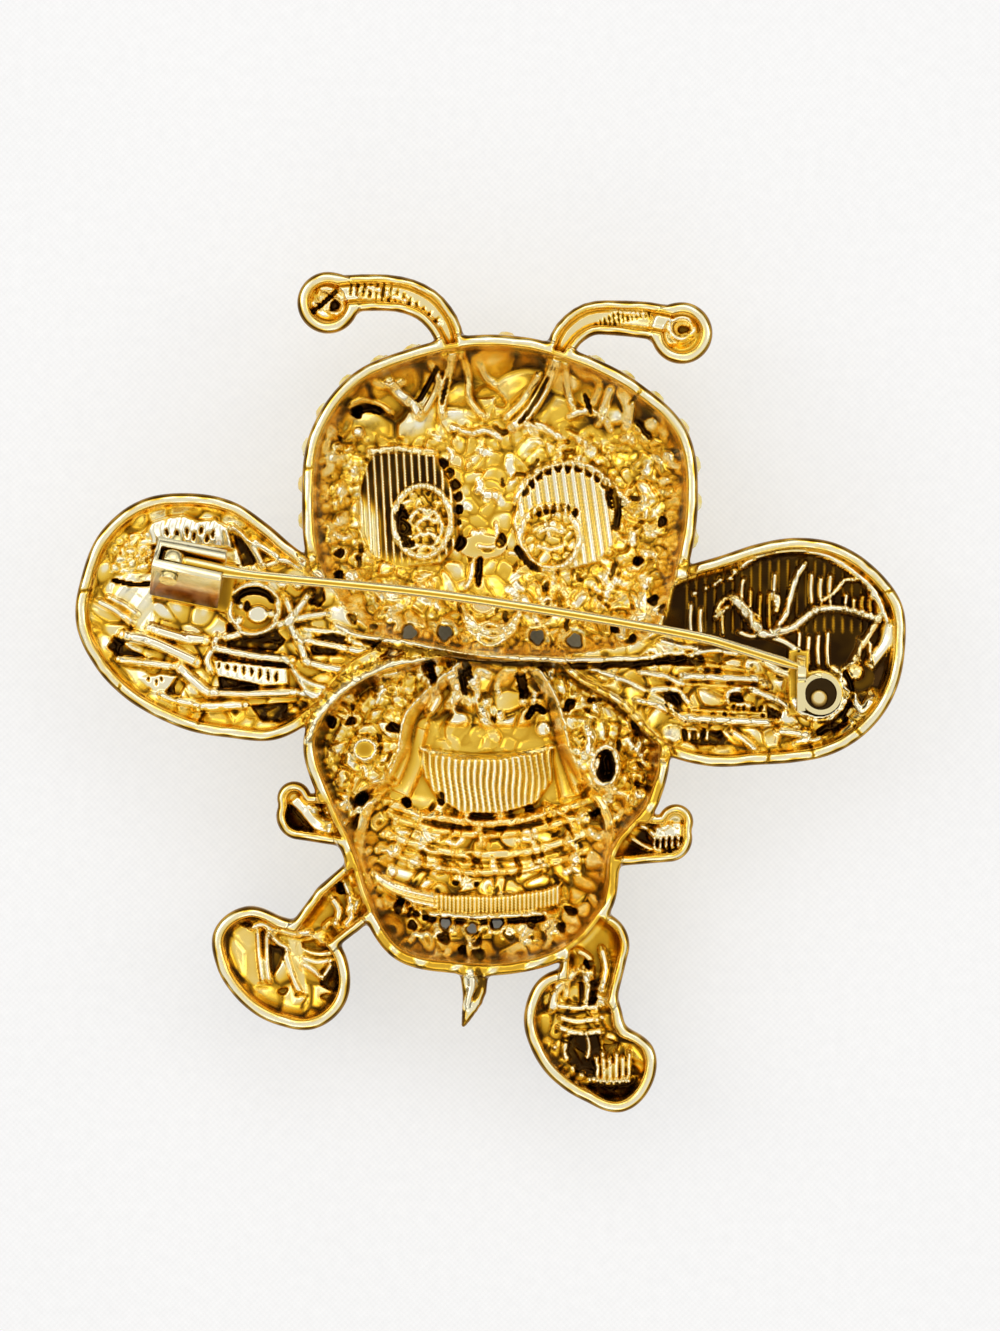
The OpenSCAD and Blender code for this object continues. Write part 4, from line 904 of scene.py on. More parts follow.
rightWingMarks = {
    "uprights": ((752, 592, 628, 3, 9.5), (776, 575, 606, 1, 8), (813, 575, 603, 3, 9.4),
        (848, 596, 612, 4, 8), (801, 634, 666, 4, 9.6), (692, 606, 634, 2, 10), (861, 640, 662, 2, 11),
        (724, 612, 634, 1, 9)),
    "stepBeads": ((695, 593), (707, 588), (716, 584), (721, 580), (731, 578), (736, 572), (742, 566)),
    "veins": ((((733, 596), (746, 612), (763, 634)), 5.5, 1.1, 0.15),
        (((733, 596), (722, 602), (716, 618)), 3, 0.7, 0.45),
        (((763, 634), (778, 632), (793, 628), (806, 618), (816, 610)), 5, 1.1, 0.1),
        (((816, 610), (838, 608), (860, 613), (879, 619)), 4.5, 1.1, 0.12),
        (((806, 563), (798, 576), (794, 588), (788, 612), (776, 630)), 3.6, 0.9, 0.12),
        (((746, 578), (742, 590), (745, 604), (758, 616)), 2.6, 0.7, 0.3),
        (((866, 580), (872, 590), (880, 606), (879, 619)), 4, 0.9, 0.12),
        (((824, 600), (836, 592), (846, 580), (858, 580)), 2.6, 0.7, 0.3),
        (((879, 619), (872, 632), (862, 648), (851, 668)), 4, 0.9, 0.4),
        (((890, 624), (886, 644), (872, 664)), 7, 0.6, 0.02),
        (((763, 634), (786, 642), (800, 652)), 4, 0.9, 0.1),
        (((716, 618), (724, 610), (730, 606)), 3, 0.6, 0.3),
        (((740, 632), (752, 636), (764, 634)), 3, 0.7, 0.15),
        (((776, 594), (780, 600), (776, 612)), 3, 0.5, 0.1)),
    "rail": ((ridge, ((744, 566), (756, 556), (776, 550), (806, 549), (836, 560), (862, 578), (880, 600),
        (888, 622)), 3, 1.3, 0.05),),
    "lowerRibs": ((((683, 676), (710, 677), (761, 679)), 4.5, 1.0, 0.05),
        (((684, 684), (720, 686), (768, 688)), 2, 0.5, 0.6),
        (((683, 717), (720, 720), (776, 722)), 5, 1.0, 0.05),
        (((690, 710), (724, 712), (770, 714)), 2, 0.4, 0.5),
        (((728, 702), (730, 692), (742, 690)), 3, 0.8, 0.2), (((728, 702), (752, 706)), 3, 0.8, 0.12),
        (((752, 690), (778, 700), (794, 710)), 4, 0.9, 0.15),
        (((779, 731), (794, 733), (809, 735)), 4.5, 0.9, 0.04),
        (((733, 732), (748, 742), (756, 750)), 4, 0.8, 0.15),
        (((650, 690), (676, 690), (690, 704)), 3.5, 0.7, 0.12),
        (((640, 672), (664, 676), (682, 684)), 3.5, 0.8, 0.1),
        (((636, 700), (660, 706), (680, 716)), 3.5, 0.8, 0.1),
        (((765, 660), (776, 668), (794, 676)), 5, 0.7, 0.3),
        (((700, 664), (730, 668), (752, 672)), 3, 0.5, 0.6),
        (((690, 656), (712, 650), (740, 654)), 3, 0.6, 0.15),
        (((796, 742), (816, 740), (834, 732)), 3, 0.6, 0.12),
        (((853, 694), (862, 710), (872, 700)), 5, 0.8, 0.02),
        (((660, 640), (680, 646), (700, 648)), 3, 0.6, 0.12)),
    "shadedCells": (((683, 730), (722, 732), (733, 744), (700, 746), (684, 740)),
        ((728, 700), (742, 694), (744, 702), (732, 704)), ((768, 706), (780, 712), (780, 728), (770, 724)),
        ((818, 732), (846, 714), (852, 724), (824, 742)), ((666, 696), (680, 692), (682, 712), (668, 714)),
        ((650, 652), (706, 660), (706, 666), (650, 664))),
    "slots": ((726, 714), (735, 706), (745, 707), (754, 709), (762, 708), (764, 716)),
    "oval": ((disc, (859, 678), (18, 15), wingFloor + 0.05, 0.86),
        (loop, (859, 678), (18, 15), 2.4, 0.4, 0.3, 100, 260), (bead, (857, 672), 9, 0.5, 0.35)),
}


def rightWingRelief(f, inWing):
    px, py = pictureOf(f["x"], f["y"])
    wire = 626 + (px - 650) * 0.26
    upper = (inWing * smoothStep(8, -6, py - wire - 4)
             + inWing * smoothStep(840, 852, px) * smoothStep(690, 676, py))
    upper = np.minimum(1, upper)
    toTone(f, 0.44, inWing)
    # the upper part, above the pin, is sunken and painted near black as shade
    f["z"] -= 0.25 * upper
    toTone(f, 1, upper)
    lower = inWing * (1 - upper)
    nuggets(f, lower, 20, 0.35, 51, holes=0.15, tilt=1.2, amber=0.3)
    # upright ribs painted pale as highlights in the painted shade
    for x0, top, low, n, pitch in rightWingMarks["uprights"]:
        for k in range(n):
            shift = 2.2 * ((k * 5) % 3 - 1)
            x = x0 + pitch * k
            ridge(f, ((x, low), (x - 1, (top + low) / 2), (x, top + shift)), 2.3, 0.7, 0.03)
    for k in range(22):
        x0 = 688 + 9.2 * k
        ridge(f, ((x0, 632), (x0, 560)), 1.3, 0.15, 0.82)
    each(f, bead, rightWingMarks["stepBeads"], 3.4, 0.6, 0.02)
    carve(f, ridge, rightWingMarks["veins"])
    work(f, rightWingMarks["rail"])
    # the lower half, with sunken cells, slots and an oval hollow painted dark as shade
    carve(f, ridge, rightWingMarks["lowerRibs"])
    shadeCells(f, inWing, rightWingMarks["shadedCells"], 12, 54)
    for k in range(3):
        ridge(f, ((690 + 9 * k, 732), (690 + 9 * k, 740)), 1.8, 0.5, 0.05)
    each(f, pit, rightWingMarks["slots"], (2.4, 2.8), 0.35, 0.9)
    work(f, rightWingMarks["oval"])


limbMarks = {
    "leftShoePatches":
        ((((232, 930), (250, 924), (256, 950), (260, 978), (254, 990), (238, 976), (231, 954)), 0.4),
        (((268, 948), (284, 950), (278, 968), (270, 980)), 0.85),
        (((258, 934), (263, 934), (264, 962), (259, 958)), 0.7),
        (((286, 940), (300, 942), (306, 1004), (292, 1006)), 0.3),
        (((318, 974), (332, 962), (341, 956), (342, 988), (332, 994), (320, 988)), 0.8),
        (((300, 944), (330, 940), (332, 952), (304, 954)), 0.62)),
    "leftShoeFolds": ((((256, 934), (258, 960), (261, 984)), 2.6, 0.4, 0.1),
        (((265, 936), (265, 960), (268, 984)), 3, 0.5, 0.06),
        (((250, 928), (262, 926), (272, 934)), 4.5, 0.6, 0.04),
        (((266, 934), (276, 944), (286, 952)), 3, 0.5, 0.06),
        (((276, 930), (292, 936), (310, 934)), 3.5, 0.5, 0.12),
        (((302, 960), (316, 964), (330, 962)), 2.6, 0.5, 0.06),
        (((302, 966), (314, 974), (322, 982)), 3, 0.5, 0.04),
        (((322, 980), (328, 970), (332, 962)), 2.8, 0.5, 0.04),
        (((304, 952), (318, 956), (332, 954)), 2.4, 0.4, 0.12),
        (((284, 956), (290, 978), (300, 998)), 3.5, 0.3, 0.2),
        (((324, 928), (332, 922), (338, 930)), 4, 0.6, 0.05),
        (((318, 944), (326, 946), (330, 940)), 3, 0.4, 0.3)),
    "leftShoePits": (((281, 994), (6, 4)), ((298, 997), (6, 4)), ((327, 1000), (9, 5)), ((245, 926), (8, 3)),
        ((274, 922), (6, 3))),
    "rightShoePatches":
        ((((562, 1040), (598, 1038), (604, 1058), (592, 1082), (576, 1074), (560, 1058)), 0.98),
        (((584, 1086), (592, 1088), (628, 1088), (640, 1078), (636, 1098), (606, 1102)), 0.85),
        (((622, 1046), (640, 1046), (656, 1056), (656, 1072), (644, 1082), (634, 1062)), 0.4),
        (((580, 984), (597, 984), (597, 1006), (580, 1006)), 0.92),
        (((604, 1040), (620, 1046), (616, 1066), (604, 1060)), 0.7)),
    "rightShoeFolds": ((((560, 1020), (580, 1024), (603, 1020)), 3, 0.5, 0.05),
        (((559, 1030), (580, 1036), (603, 1034)), 3.4, 0.6, 0.04),
        (((558, 1008), (574, 1010), (600, 1010)), 3, 0.5, 0.1),
        (((586, 1034), (590, 1048), (588, 1062)), 2, 0.5, 0.03),
        (((592, 1082), (610, 1086), (630, 1082)), 4.5, 0.8, 0.0),
        (((562, 982), (556, 996), (552, 1012)), 5, 0.5, 0.06),
        (((576, 974), (568, 984), (566, 1000)), 3.4, 0.4, 0.3),
        (((566, 1046), (565, 1056), (568, 1062)), 3.4, 0.5, 0.04)),
    "rightShoeBeads": (((555, 1050), 3), ((574, 1071), 3), ((583, 1077), 3), ((598, 1024), 4),
        ((590, 973), 5)),
    "limbFolds": ((((293, 799), (303, 810), (314, 822), (326, 829)), 8.5, 1.2, 0.0),
        (((310, 804), (318, 812)), 3, 0.8, 0.1), (((326, 833), (336, 829), (346, 822)), 2.6, 0.9, 0.05),
        (((326, 812), (334, 818), (330, 826)), 3, 0.8, 0.05),
        (((640, 826), (648, 830), (656, 838)), 3, 0.8, 0.1),
        (((630, 838), (646, 847), (662, 851)), 3.4, 0.6, 0.35),
        (((664, 822), (676, 818), (686, 820)), 8, 0.7, 0.0),
        (((656, 835), (672, 832), (690, 833)), 9, 1.0, 0.0),
        (((345, 884), (350, 900), (348, 914)), 4, 0.7, 0.04),
        (((332, 900), (338, 912), (334, 926)), 4, 0.6, 0.2),
        (((358, 900), (352, 916), (344, 926)), 3.4, 0.6, 0.06),
        (((602, 950), (606, 970), (602, 990)), 4, 0.7, 0.05),
        (((584, 970), (588, 988), (586, 1006)), 4, 0.6, 0.1),
        (((596, 1000), (604, 1004), (612, 1002)), 5, 0.6, 0.04),
        (((578, 952), (590, 960), (592, 980)), 3.5, 0.5, 0.4)),
    "armPits": ((pit, (673, 824), (1.8, 2.8), 0.2, 0.7), (pit, (682, 823), (1.8, 2.8), 0.2, 0.7)),
    "legPits": ((594, 1000), (590, 966), (340, 890), (356, 872)),
    "antennaTips": ((ridge, ((312, 300), (322, 312), (338, 314)), 4, 0.5, 0.1),
        (ridge, ((316, 286), (330, 290), (342, 300)), 4, 0.5, 0.3),
        (ridge, ((310, 312), (324, 300), (336, 290)), 2.5, -0.4, 0.85), (pit, (334, 304), (6, 5), 0.4, 0.8),
        (loop, (683, 327), (12, 11), 3, 0.5, 0.1), (pit, (684, 328), (6, 5), 0.3, 0.7)),
}


def limbRelief(f, e, h):

    def near01(name):
        return smoothStep(-0.2, 0.1, e[name])

    inShoeL, inShoeR = near01("leftShoe") * (h > 0), near01("rightShoe") * (h > 0)
    toTone(f, 0.42, inShoeL)
    nuggets(f, inShoeL, 30, 0.2, 61, holes=0, tilt=1.0, amber=0.36)
    patches(f, inShoeL, limbMarks["leftShoePatches"], 4)
    carve(f, ridge, limbMarks["leftShoeFolds"])
    carve(f, pit, limbMarks["leftShoePits"], 0.25, 0.75)
    toTone(f, 0.5, inShoeR)
    nuggets(f, inShoeR, 18, 0.3, 62, holes=0.2, tilt=1.2, amber=0.42)
    patches(f, inShoeR, limbMarks["rightShoePatches"], 3)
    carve(f, ridge, limbMarks["rightShoeFolds"])
    for k in range(6):
        ridge(f, ((598 + 6.4 * k, 1084), (598 + 6.4 * k, 1070), (597 + 6.6 * k, 1060 - 5 * (k % 2))),
              2.2, 0.7, 0.02)
    carve(f, bead, limbMarks["rightShoeBeads"], 0.35, 0.03)
    # the arms' hollows painted dark as shade, the legs' a middle amber
    for name, tone in (("leftArm", 0.86), ("rightArm", 0.82), ("leftLeg", 0.55), ("rightLeg", 0.6)):
        k = near01(name) * (h > 0) * (1 - near01("body")) * (1 - inShoeL) * (1 - inShoeR)
        toTone(f, tone, k)
    carve(f, ridge, limbMarks["limbFolds"])
    for k in range(6):
        pit(f, (658 + 6 * k, 844 - 0.8 * k), (2, 4.4), 0.5, 0.9)
        ridge(f, ((655 + 6 * k, 838), (655 + 6 * k, 848)), 1.6, 0.8, 0.1)
    work(f, limbMarks["armPits"])
    each(f, pit, limbMarks["legPits"], (5, 6), 0.4, 0.95)
    # the antennae and their balls painted pale as highlights, with notches painted dark as shade
    for name in ("leftAntenna", "rightAntenna", "leftBall", "rightBall"):
        k = near01(name) * (h > 0)
        toTone(f, 0.22, k)
        f["z"] += 0.5 * k * (h > 0.12)
    for k in range(14):
        t = k / 13
        ridge(f, ((352 + 84 * t, 278 + 40 * t * t), (350 + 82 * t, 294 + 38 * t * t)), 1.5, -0.25, 0.8)
        rise = 22 * math.sin(t * 1.7)
        ridge(f, ((592 + 56 * t, 326 - rise), (594 + 56 * t, 338 - rise)), 1.5, -0.25, 0.8)
    for k in range(9):
        t = k / 8
        bead(f, (370 + 68 * t, 287 + 9 * math.sin(t * 1.6) + 28 * t * t), 3.2, 0.3, 0.05)
        bead(f, (600 + 44 * t, 305 + 13 * t - 6 * t * t), 3, 0.3, 0.05)
    work(f, limbMarks["antennaTips"])


padMarks = {
    "cupPad": ((disc, (820, 694), (25, 25), padTop, 0.6, 0.05),),
    "hookPad": ((789, 650), (810, 650), (810, 716), (789, 716)),
    "cupRings": ((loop, (821, 692), (27, 27), 4, 0.3, 0.1, 200, 420),
        (loop, (821, 692), (32, 31), 3, -0.3, 0.85, 300, 400)),
}


def padRelief(f):
    # the pads under the findings painted dark as shade, with a pale ring about the catch's cup
    c, s = math.cos(math.radians(-11.8)), math.sin(math.radians(-11.8))
    m = near(f, [(-18.6, 6.8)], 4)
    dx, dy = f["x"][m] + 18.55, f["y"][m] - 6.95
    u, v = np.abs(dx * c + dy * s) - 2.4, np.abs(-dx * s + dy * c) - 1.5
    k = smoothStep(0.12, -0.02, np.maximum(u, v))
    f["z"][m] += np.maximum(0, padTop - f["z"][m]) * k
    f["tone"][m] += (0.8 - f["tone"][m]) * k
    work(f, padMarks["cupPad"])
    foot = mask(f, padMarks["hookPad"], 2)
    toHeight(f, padTop, foot)
    toTone(f, 0.7, foot)
    work(f, padMarks["cupRings"])


rimMarks = {
    "chin": ((300, 628), (365, 637), (432, 646), (500, 656), (562, 660), (640, 658), (684, 652)),
    "bodyLines": ((ridge, ((306, 742), (322, 712), (352, 684), (392, 664), (430, 660)), 3, 0.3, 0.1),
        (ridge, ((688, 722), (664, 700), (628, 682), (590, 668)), 3, 0.3, 0.12),
        (ridge, ((470, 972), (472, 986), (466, 1008)), 4, 0.25, 0.05),
        (ridge, ((478, 970), (481, 984), (474, 1000)), 3, -0.15, 0.9)),
    "shadedNicks": (((77, 592), (90, 590)), ((198, 724), (203, 711)), ((110, 698), (120, 686)),
        ((766, 766), (770, 751)), ((814, 758), (811, 743)), ((863, 738), (855, 726)),
        ((892, 590), (880, 594)), ((300, 470), (312, 468)), ((640, 392), (630, 402)),
        ((300, 1010), (306, 998)), ((560, 1072), (570, 1064))),
}


def makeBack(x, y):  # height and tone of the casting's back
    e = insets(x, y)
    z, g, h = baseBack(x, y, e)
    f = {"x": x, "y": y, "z": z.copy(), "tone": np.full(x.shape, 0.16)}
    deepIn = smoothStep(0.02, 0.35, h)
    owner = {name: smoothStep(-0.05, 0.1, e[name] - rimW) for name in mainForms}
    inHead = owner["head"] * deepIn
    inLeft = owner["leftWing"] * deepIn * (1 - inHead)
    inRight = owner["rightWing"] * deepIn * (1 - inHead)
    inBody = owner["body"] * deepIn * (1 - np.maximum(inHead, np.maximum(inLeft, inRight)))
    limbRelief(f, e, h)
    headRelief(f, inHead)
    bodyRelief(f, inBody)
    leftWingRelief(f, inLeft)
    rightWingRelief(f, inRight)
    for inside, name in ((inLeft, "leftWing"), (inRight, "rightWing")):  # veins stay below the rims
        over = np.maximum(0, f["z"] - (forms[name]["top"] - 0.5))
        f["z"] -= inside * (over - 0.3 * (1 - np.exp(-over / 0.3)))
    keep = smoothStep(0.0, 0.22, h)  # relief fades out on the rims
    f["z"] = z + (f["z"] - z) * keep
    # painted light on the rims: a pale highlight line along each crest, and painted shade, dark on the outer
    # walls and lighter further in
    sway = np.sin(2.3 * x + 1.1 * np.sin(1.9 * y)) * np.sin(2.1 * y + 1.3 * np.sin(1.7 * x))
    line = smoothStep(0.15, 0.27, g - 0.07 * sway) * smoothStep(0.12, 0.26, 0.07 * sway - h)
    edge = 0.82 - 0.3 * smoothStep(0.3, 0.5, g)
    rim = edge + (0.08 - edge) * line + 0.1 * sway * (1 - line)
    second = np.sort([e[name] for name in mainForms], 0)[-2]
    # rims between two hollows
    inner = smoothStep(-0.7, -0.25, second) * smoothStep(0.1, -0.05, h) * smoothStep(0.1, 0.3, g)
    rim = rim + (0.42 - rim) * inner
    f["z"] -= 0.3 * inner
    # darker patches along the body's rim break up its painted highlight
    wave = np.sin(1.3 * x + 1.9 * np.sin(0.9 * y)) * np.sin(1.1 * y + 1.7 * np.sin(1.4 * x))
    ragged = smoothStep(-0.1, 0.05, e["body"]) * smoothStep(0.1, -0.05, h) * smoothStep(-0.05, 0.35, wave)
    rim = rim + (0.66 - rim) * 0.85 * ragged
    f["z"] -= 0.1 * ragged
    f["tone"] = rim + (f["tone"] - rim) * smoothStep(-0.05, 0.15, h)
    joint = inner * (1 - smoothStep(0, 0.1, h))
    nuggets(f, joint, 15, 0.4, 71, tilt=1.0, amber=0.36)
    # along the chin a groove painted dark as shade just below a ridge painted pale as a highlight
    chin = rimMarks["chin"]
    ridge(f, [(px, py + 6) for px, py in chin[1:]], 3.5, -0.25, 0.85)
    ridge(f, chin, 3, 0.3, 0.06)
    work(f, rimMarks["bodyLines"])
    # small dents across the rims, painted dark as shade
    each(f, ridge, rimMarks["shadedNicks"], 1.8, -0.06, 0.8)
    # round each hole a ring painted pale as a highlight, and the hole's edge painted dark as shade
    holeGlintAndShade = smoothStep(0.36, 0.22, g) * (h > 0.3)
    toTone(f, 0.12 + 0.7 * smoothStep(0.22, 0.1, g), holeGlintAndShade)
    padRelief(f)
    return f["z"], np.clip(f["tone"], 0, 1), h


def makeFront(x, y):  # height of the casting's front
    low = np.full(x.shape, -99.0)
    for form in forms.values():
        low = smoothMax(low, bowlDepth(form, x, y, 0, form["deep"]) - form["top"], 0.12)
    for name, rows in limbs.items():
        d, _, r = alongPath(rows, x, y)
        s = np.clip(d / np.maximum(r, 0.02), 0, 1)
        deep = limbDeep[name] * np.maximum(0, 1 - s**2.4) ** 0.42 * np.minimum(1, r)
        low = smoothMax(low, deep - limbTop, 0.12)
    return -low


print("relief ready")


# The casting's mesh: a fine back, a plainer front and the wall between them

def readOut(data, key, per, kind=np.float32):  # a mesh's own numbers, some to a row
    out = np.zeros(len(data) * per, kind)
    data.foreach_get(key, out)
    return out.reshape(-1, per)


def meshFrom(name, verts, faces, tone=None):  # verts in millimetres, faces of one size
    mesh = bpy.data.meshes.new(name)
    faces = np.asarray(faces)
    n, k = faces.shape
    mesh.vertices.add(len(verts))
    mesh.vertices.foreach_set("co", (np.asarray(verts) * mm).ravel())
    mesh.loops.add(n * k)
    mesh.loops.foreach_set("vertex_index", faces.ravel())
    mesh.polygons.add(n)
    mesh.polygons.foreach_set("loop_start", np.arange(0, n * k, k))
    mesh.update(calc_edges=True)
    mesh.shade_smooth()
    if tone is not None:
        mesh.attributes.new("tone", "FLOAT", "POINT").data.foreach_set("value", np.asarray(tone, np.float32))
    return mesh


def addObject(name, mesh, material, body="brooch"):
    o = bpy.data.objects.new(name, mesh)
    bpy.context.scene.collection.objects.link(o)
    if material:
        mesh.materials.append(material)
    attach(o, body)
    return o


def blur(values, weight, reach):  # a box mean over a grid, only where weight counts
    def run(a, axis):
        c = np.cumsum(np.concatenate([np.zeros_like(np.take(a, [0], axis)), a], axis), axis)
        n = a.shape[axis]
        hi, lo = np.minimum(np.arange(n) + reach + 1, n), np.maximum(np.arange(n) - reach, 0)
        return np.take(c, hi, axis) - np.take(c, lo, axis)
    total, count = values * weight, weight.astype(float)
    for _ in range(2):
        total, count = run(run(total, 0), 1), run(run(count, 0), 1)
    return total / np.maximum(count, 1e-9)


def orient(points, tris):  # counter-clockwise from above
    a, b, c = points[tris[:, 0]], points[tris[:, 1]], points[tris[:, 2]]
    area = (b[:, 0] - a[:, 0]) * (c[:, 1] - a[:, 1]) - (b[:, 1] - a[:, 1]) * (c[:, 0] - a[:, 0])
    return np.where((area < 0)[:, None], tris[:, ::-1], tris)


def insideLoops(loops, tris, points):  # drops the triangles in the holes
    mid = points[tris].mean(1)
    drop = np.zeros(len(tris), bool)
    for loop in loops:
        lo, hi = loop.min(0), loop.max(0)
        m = np.nonzero((mid > lo).all(1) & (mid < hi).all(1))[0]
        drop[m] |= isWithin(loop, *mid[m].T)
    return tris[~drop]


edgeStep, backStep, frontEdgeStep, frontStep = 0.12, 0.1, 0.2, 0.3
levels = {"rim": (0.04, 0.1, 0.18, 0.27, 0.38), "front": (0.04, 0.12, 0.28, 0.5),
          "wall": (-0.18, -0.11, -0.05, 0, 0.03, 0.08, 0.16, 0.28, 0.42)}


def loopsAt(field, levels, step):
    return [loop for level in levels for loop in loopsOf(field, gx, gy, level, step)]


boundary = sorted(loopsAt(gridG, [0], edgeStep), key=len, reverse=True)
holeLoops = boundary[1:]
rimRows = loopsAt(gridG, levels["rim"], edgeStep)
wallRows = loopsAt(np.where(gridG > 0.42, gridH, -1), levels["wall"], edgeStep)


def backSpots(x, y):
    g, h = sample(gridG, x, y), sample(gridH, x, y)
    return (g > 0.45) & ((h < -0.26) | (h > 0.5))


def frontSpots(x, y):
    return sample(gridG, x, y) > 0.65


backPoints, backTris, backPlace = triangulate(boundary + rimRows + wallRows, hexSpots(backStep, backSpots))
frontRows = loopsAt(gridG, levels["front"], frontEdgeStep)
frontPoints, frontTris, frontPlace = triangulate(boundary + frontRows, hexSpots(frontStep, frontSpots))
backTris = orient(backPoints, insideLoops(holeLoops, backTris, backPoints))
frontTris = orient(frontPoints, insideLoops(holeLoops, frontTris, frontPoints))
print("casting points", len(backPoints), len(frontPoints), "holes", len(holeLoops))

gridZ = makeBack(gridX.ravel(), gridY.ravel())[0].reshape(gridX.shape)
solid = (gridG > 0.02).astype(float)
# painted shade: the back is drawn darker where it lies below its neighbours and paler where it stands above
# them
hollowness = {reach: blur(gridZ, solid, reach) - gridZ for reach in (3, 9)}

bx, by = backPoints.T
backZ, backTone, backH = makeBack(bx, by)
small, large = sample(hollowness[3], bx, by), sample(hollowness[9], bx, by)
within = smoothStep(-0.05, 0.1, backH)
shade = np.clip(small * 0.9, -0.14, 0.4) + np.clip(large * 0.08, -0.05, 0.1)
backTone = np.clip(backTone + within * shade, 0, 1)
frontZ = makeFront(*frontPoints.T)
frontZ = np.minimum(frontZ, sample(gridZ, *frontPoints.T) - 0.4)
start = 0
walls = []
for loop in boundary:
    n = len(loop)
    ids = start + np.arange(n)
    start += n
    b = np.array([backPlace[i] for i in ids])
    f = np.array([frontPlace[i] for i in ids]) + len(backPoints)
    frontZ[f - len(backPoints)] = np.minimum(frontZ[f - len(backPoints)], backZ[b] - 0.2)
    bn, fn = np.roll(b, -1), np.roll(f, -1)
    walls += [np.stack([f, fn, bn], 1), np.stack([f, bn, b], 1)]
verts = np.vstack([np.column_stack([backPoints, backZ]), np.column_stack([frontPoints, frontZ])])
fx, fy = frontPoints.T
frontTone = 0.3 + 0.06 * np.sin(1.1 * fx + 1.7 * np.sin(0.8 * fy)) * np.sin(1.3 * fy + 1.2 * np.sin(0.9 * fx))
tones = np.concatenate([backTone, frontTone])
tris = np.vstack([backTris, frontTris[:, ::-1] + len(backPoints)] + walls)
whole = meshFrom("whole", verts, tris)
normals = readOut(whole.vertices, "normal", 3)
bpy.data.meshes.remove(whole)
print("casting", len(verts), "points", len(tris), "triangles")


# Materials

def newMaterial(name):
    material = bpy.data.materials.new(name)
    material.use_nodes = True
    tree = material.node_tree
    return material, tree, tree.nodes["Principled BSDF"], node(tree, "ShaderNodeTexCoord").outputs["Object"]


def fill(tree, made, values):  # a node's sockets, by name or by number as in i0
    for key, value in values.items():
        numbered = key[0] == "i" and key[1:].isdigit()
        socket = made.inputs[int(key[1:]) if numbered else key]
        value = value.socket if isinstance(value, Num) else value
        if isinstance(value, bpy.types.NodeSocket):
            tree.links.new(value, socket)
        else:
            socket.default_value = value


def node(tree, kind, settings=None, **values):  # settings first, then the sockets
    made = tree.nodes.new(kind)
    for key, value in (settings or {}).items():
        setattr(made, key, value)
    fill(tree, made, values)
    return made


class Num:  # a shader number that takes part in plain sums
    def __init__(self, tree, socket):
        self.tree, self.socket = tree, socket

    def math(self, operation, other=None, swap=False):
        terms = [other, self] if swap else [self, other]
        given = {f"i{k}": term for k, term in enumerate(terms) if term is not None}
        made = node(self.tree, "ShaderNodeMath", {"operation": operation}, **given)
        return Num(self.tree, made.outputs[0])

    def __add__(self, other):
        return self.math("ADD", other)

    def __sub__(self, other):
        return self.math("SUBTRACT", other)

    def __rsub__(self, other):
        return self.math("SUBTRACT", other, swap=True)

    def __mul__(self, other):
        return self.math("MULTIPLY", other)

    def clamp(self):
        return self.math("MAXIMUM", 0.0).math("MINIMUM", 1.0)

    __radd__ = __add__
    __rmul__ = __mul__


def addBump(tree, bsdf, height, strength, depth=0.00004):
    bump = node(tree, "ShaderNodeBump", None, Strength=strength, Distance=depth, Height=height)
    tree.links.new(bump.outputs[0], bsdf.inputs["Normal"])


def ramp(tree, factor, stops):
    made = tree.nodes.new("ShaderNodeValToRGB")
    tree.links.new(factor.socket, made.inputs[0])
    line = made.color_ramp.elements
    while len(line) < len(stops):
        line.new(0.5)
    for element, (place, colour) in zip(line, stops):
        element.position = place
        element.color = (*colour, 1)
    return made.outputs[0]


def noise(tree, coords, scale, detail=3.0, rough=0.5):
    made = node(tree, "ShaderNodeTexNoise", None, Vector=coords, Scale=scale, Detail=detail, Roughness=rough)
    return Num(tree, made.outputs[0])


# the gold's colours along the tone, from the cream of a painted highlight to the near black of painted shade
goldTones = [(0.0, (1.0, 0.95, 0.74)), (0.16, (1.0, 0.90, 0.56)), (0.34, (0.99, 0.78, 0.29)),
             (0.5, (0.95, 0.61, 0.07)), (0.66, (0.68, 0.36, 0.02)), (0.82, (0.26, 0.125, 0.008)),
             (1.0, (0.03, 0.014, 0.004))]


def goldMaterial(name, toneAt=None, rough=0.2, shift=0.0):
    material, tree, bsdf, coords = newMaterial(name)
    if toneAt is None:
        tone = Num(tree, node(tree, "ShaderNodeAttribute", {"attribute_name": "tone"}).outputs["Fac"])
    else:
        tone = noise(tree, coords, 260.0) * 0.1 + (toneAt - 0.05)
    fine = noise(tree, coords, 2600.0, 4.0, 0.6)
    broad = noise(tree, coords, 420.0, 2.0)
    colour = ramp(tree, (tone + (broad - 0.5) * 0.16 + shift).clamp(), goldTones)
    fill(tree, bsdf, {"Base Color": colour, "Metallic": 1,
                      "Roughness": (broad * 0.12 + fine * 0.1 + (rough - 0.1)).clamp()})
    addBump(tree, bsdf, fine, 0.22)
    return material


def enamelMaterial(name, colour, dark, rough=0.08):
    material, tree, bsdf, coords = newMaterial(name)
    cloud = noise(tree, coords, 180.0, 2.0)
    mixed = node(tree, "ShaderNodeMix", {"data_type": "RGBA"}, i0=cloud, i6=(*dark, 1), i7=(*colour, 1))
    fill(tree, bsdf, {"Base Color": mixed.outputs[2], "Coat Weight": 0.6, "Coat Roughness": 0.03,
                      "Roughness": cloud * 0.1 + rough})
    addBump(tree, bsdf, noise(tree, coords, 700.0, 1.0), 0.08, 0.0001)
    return material


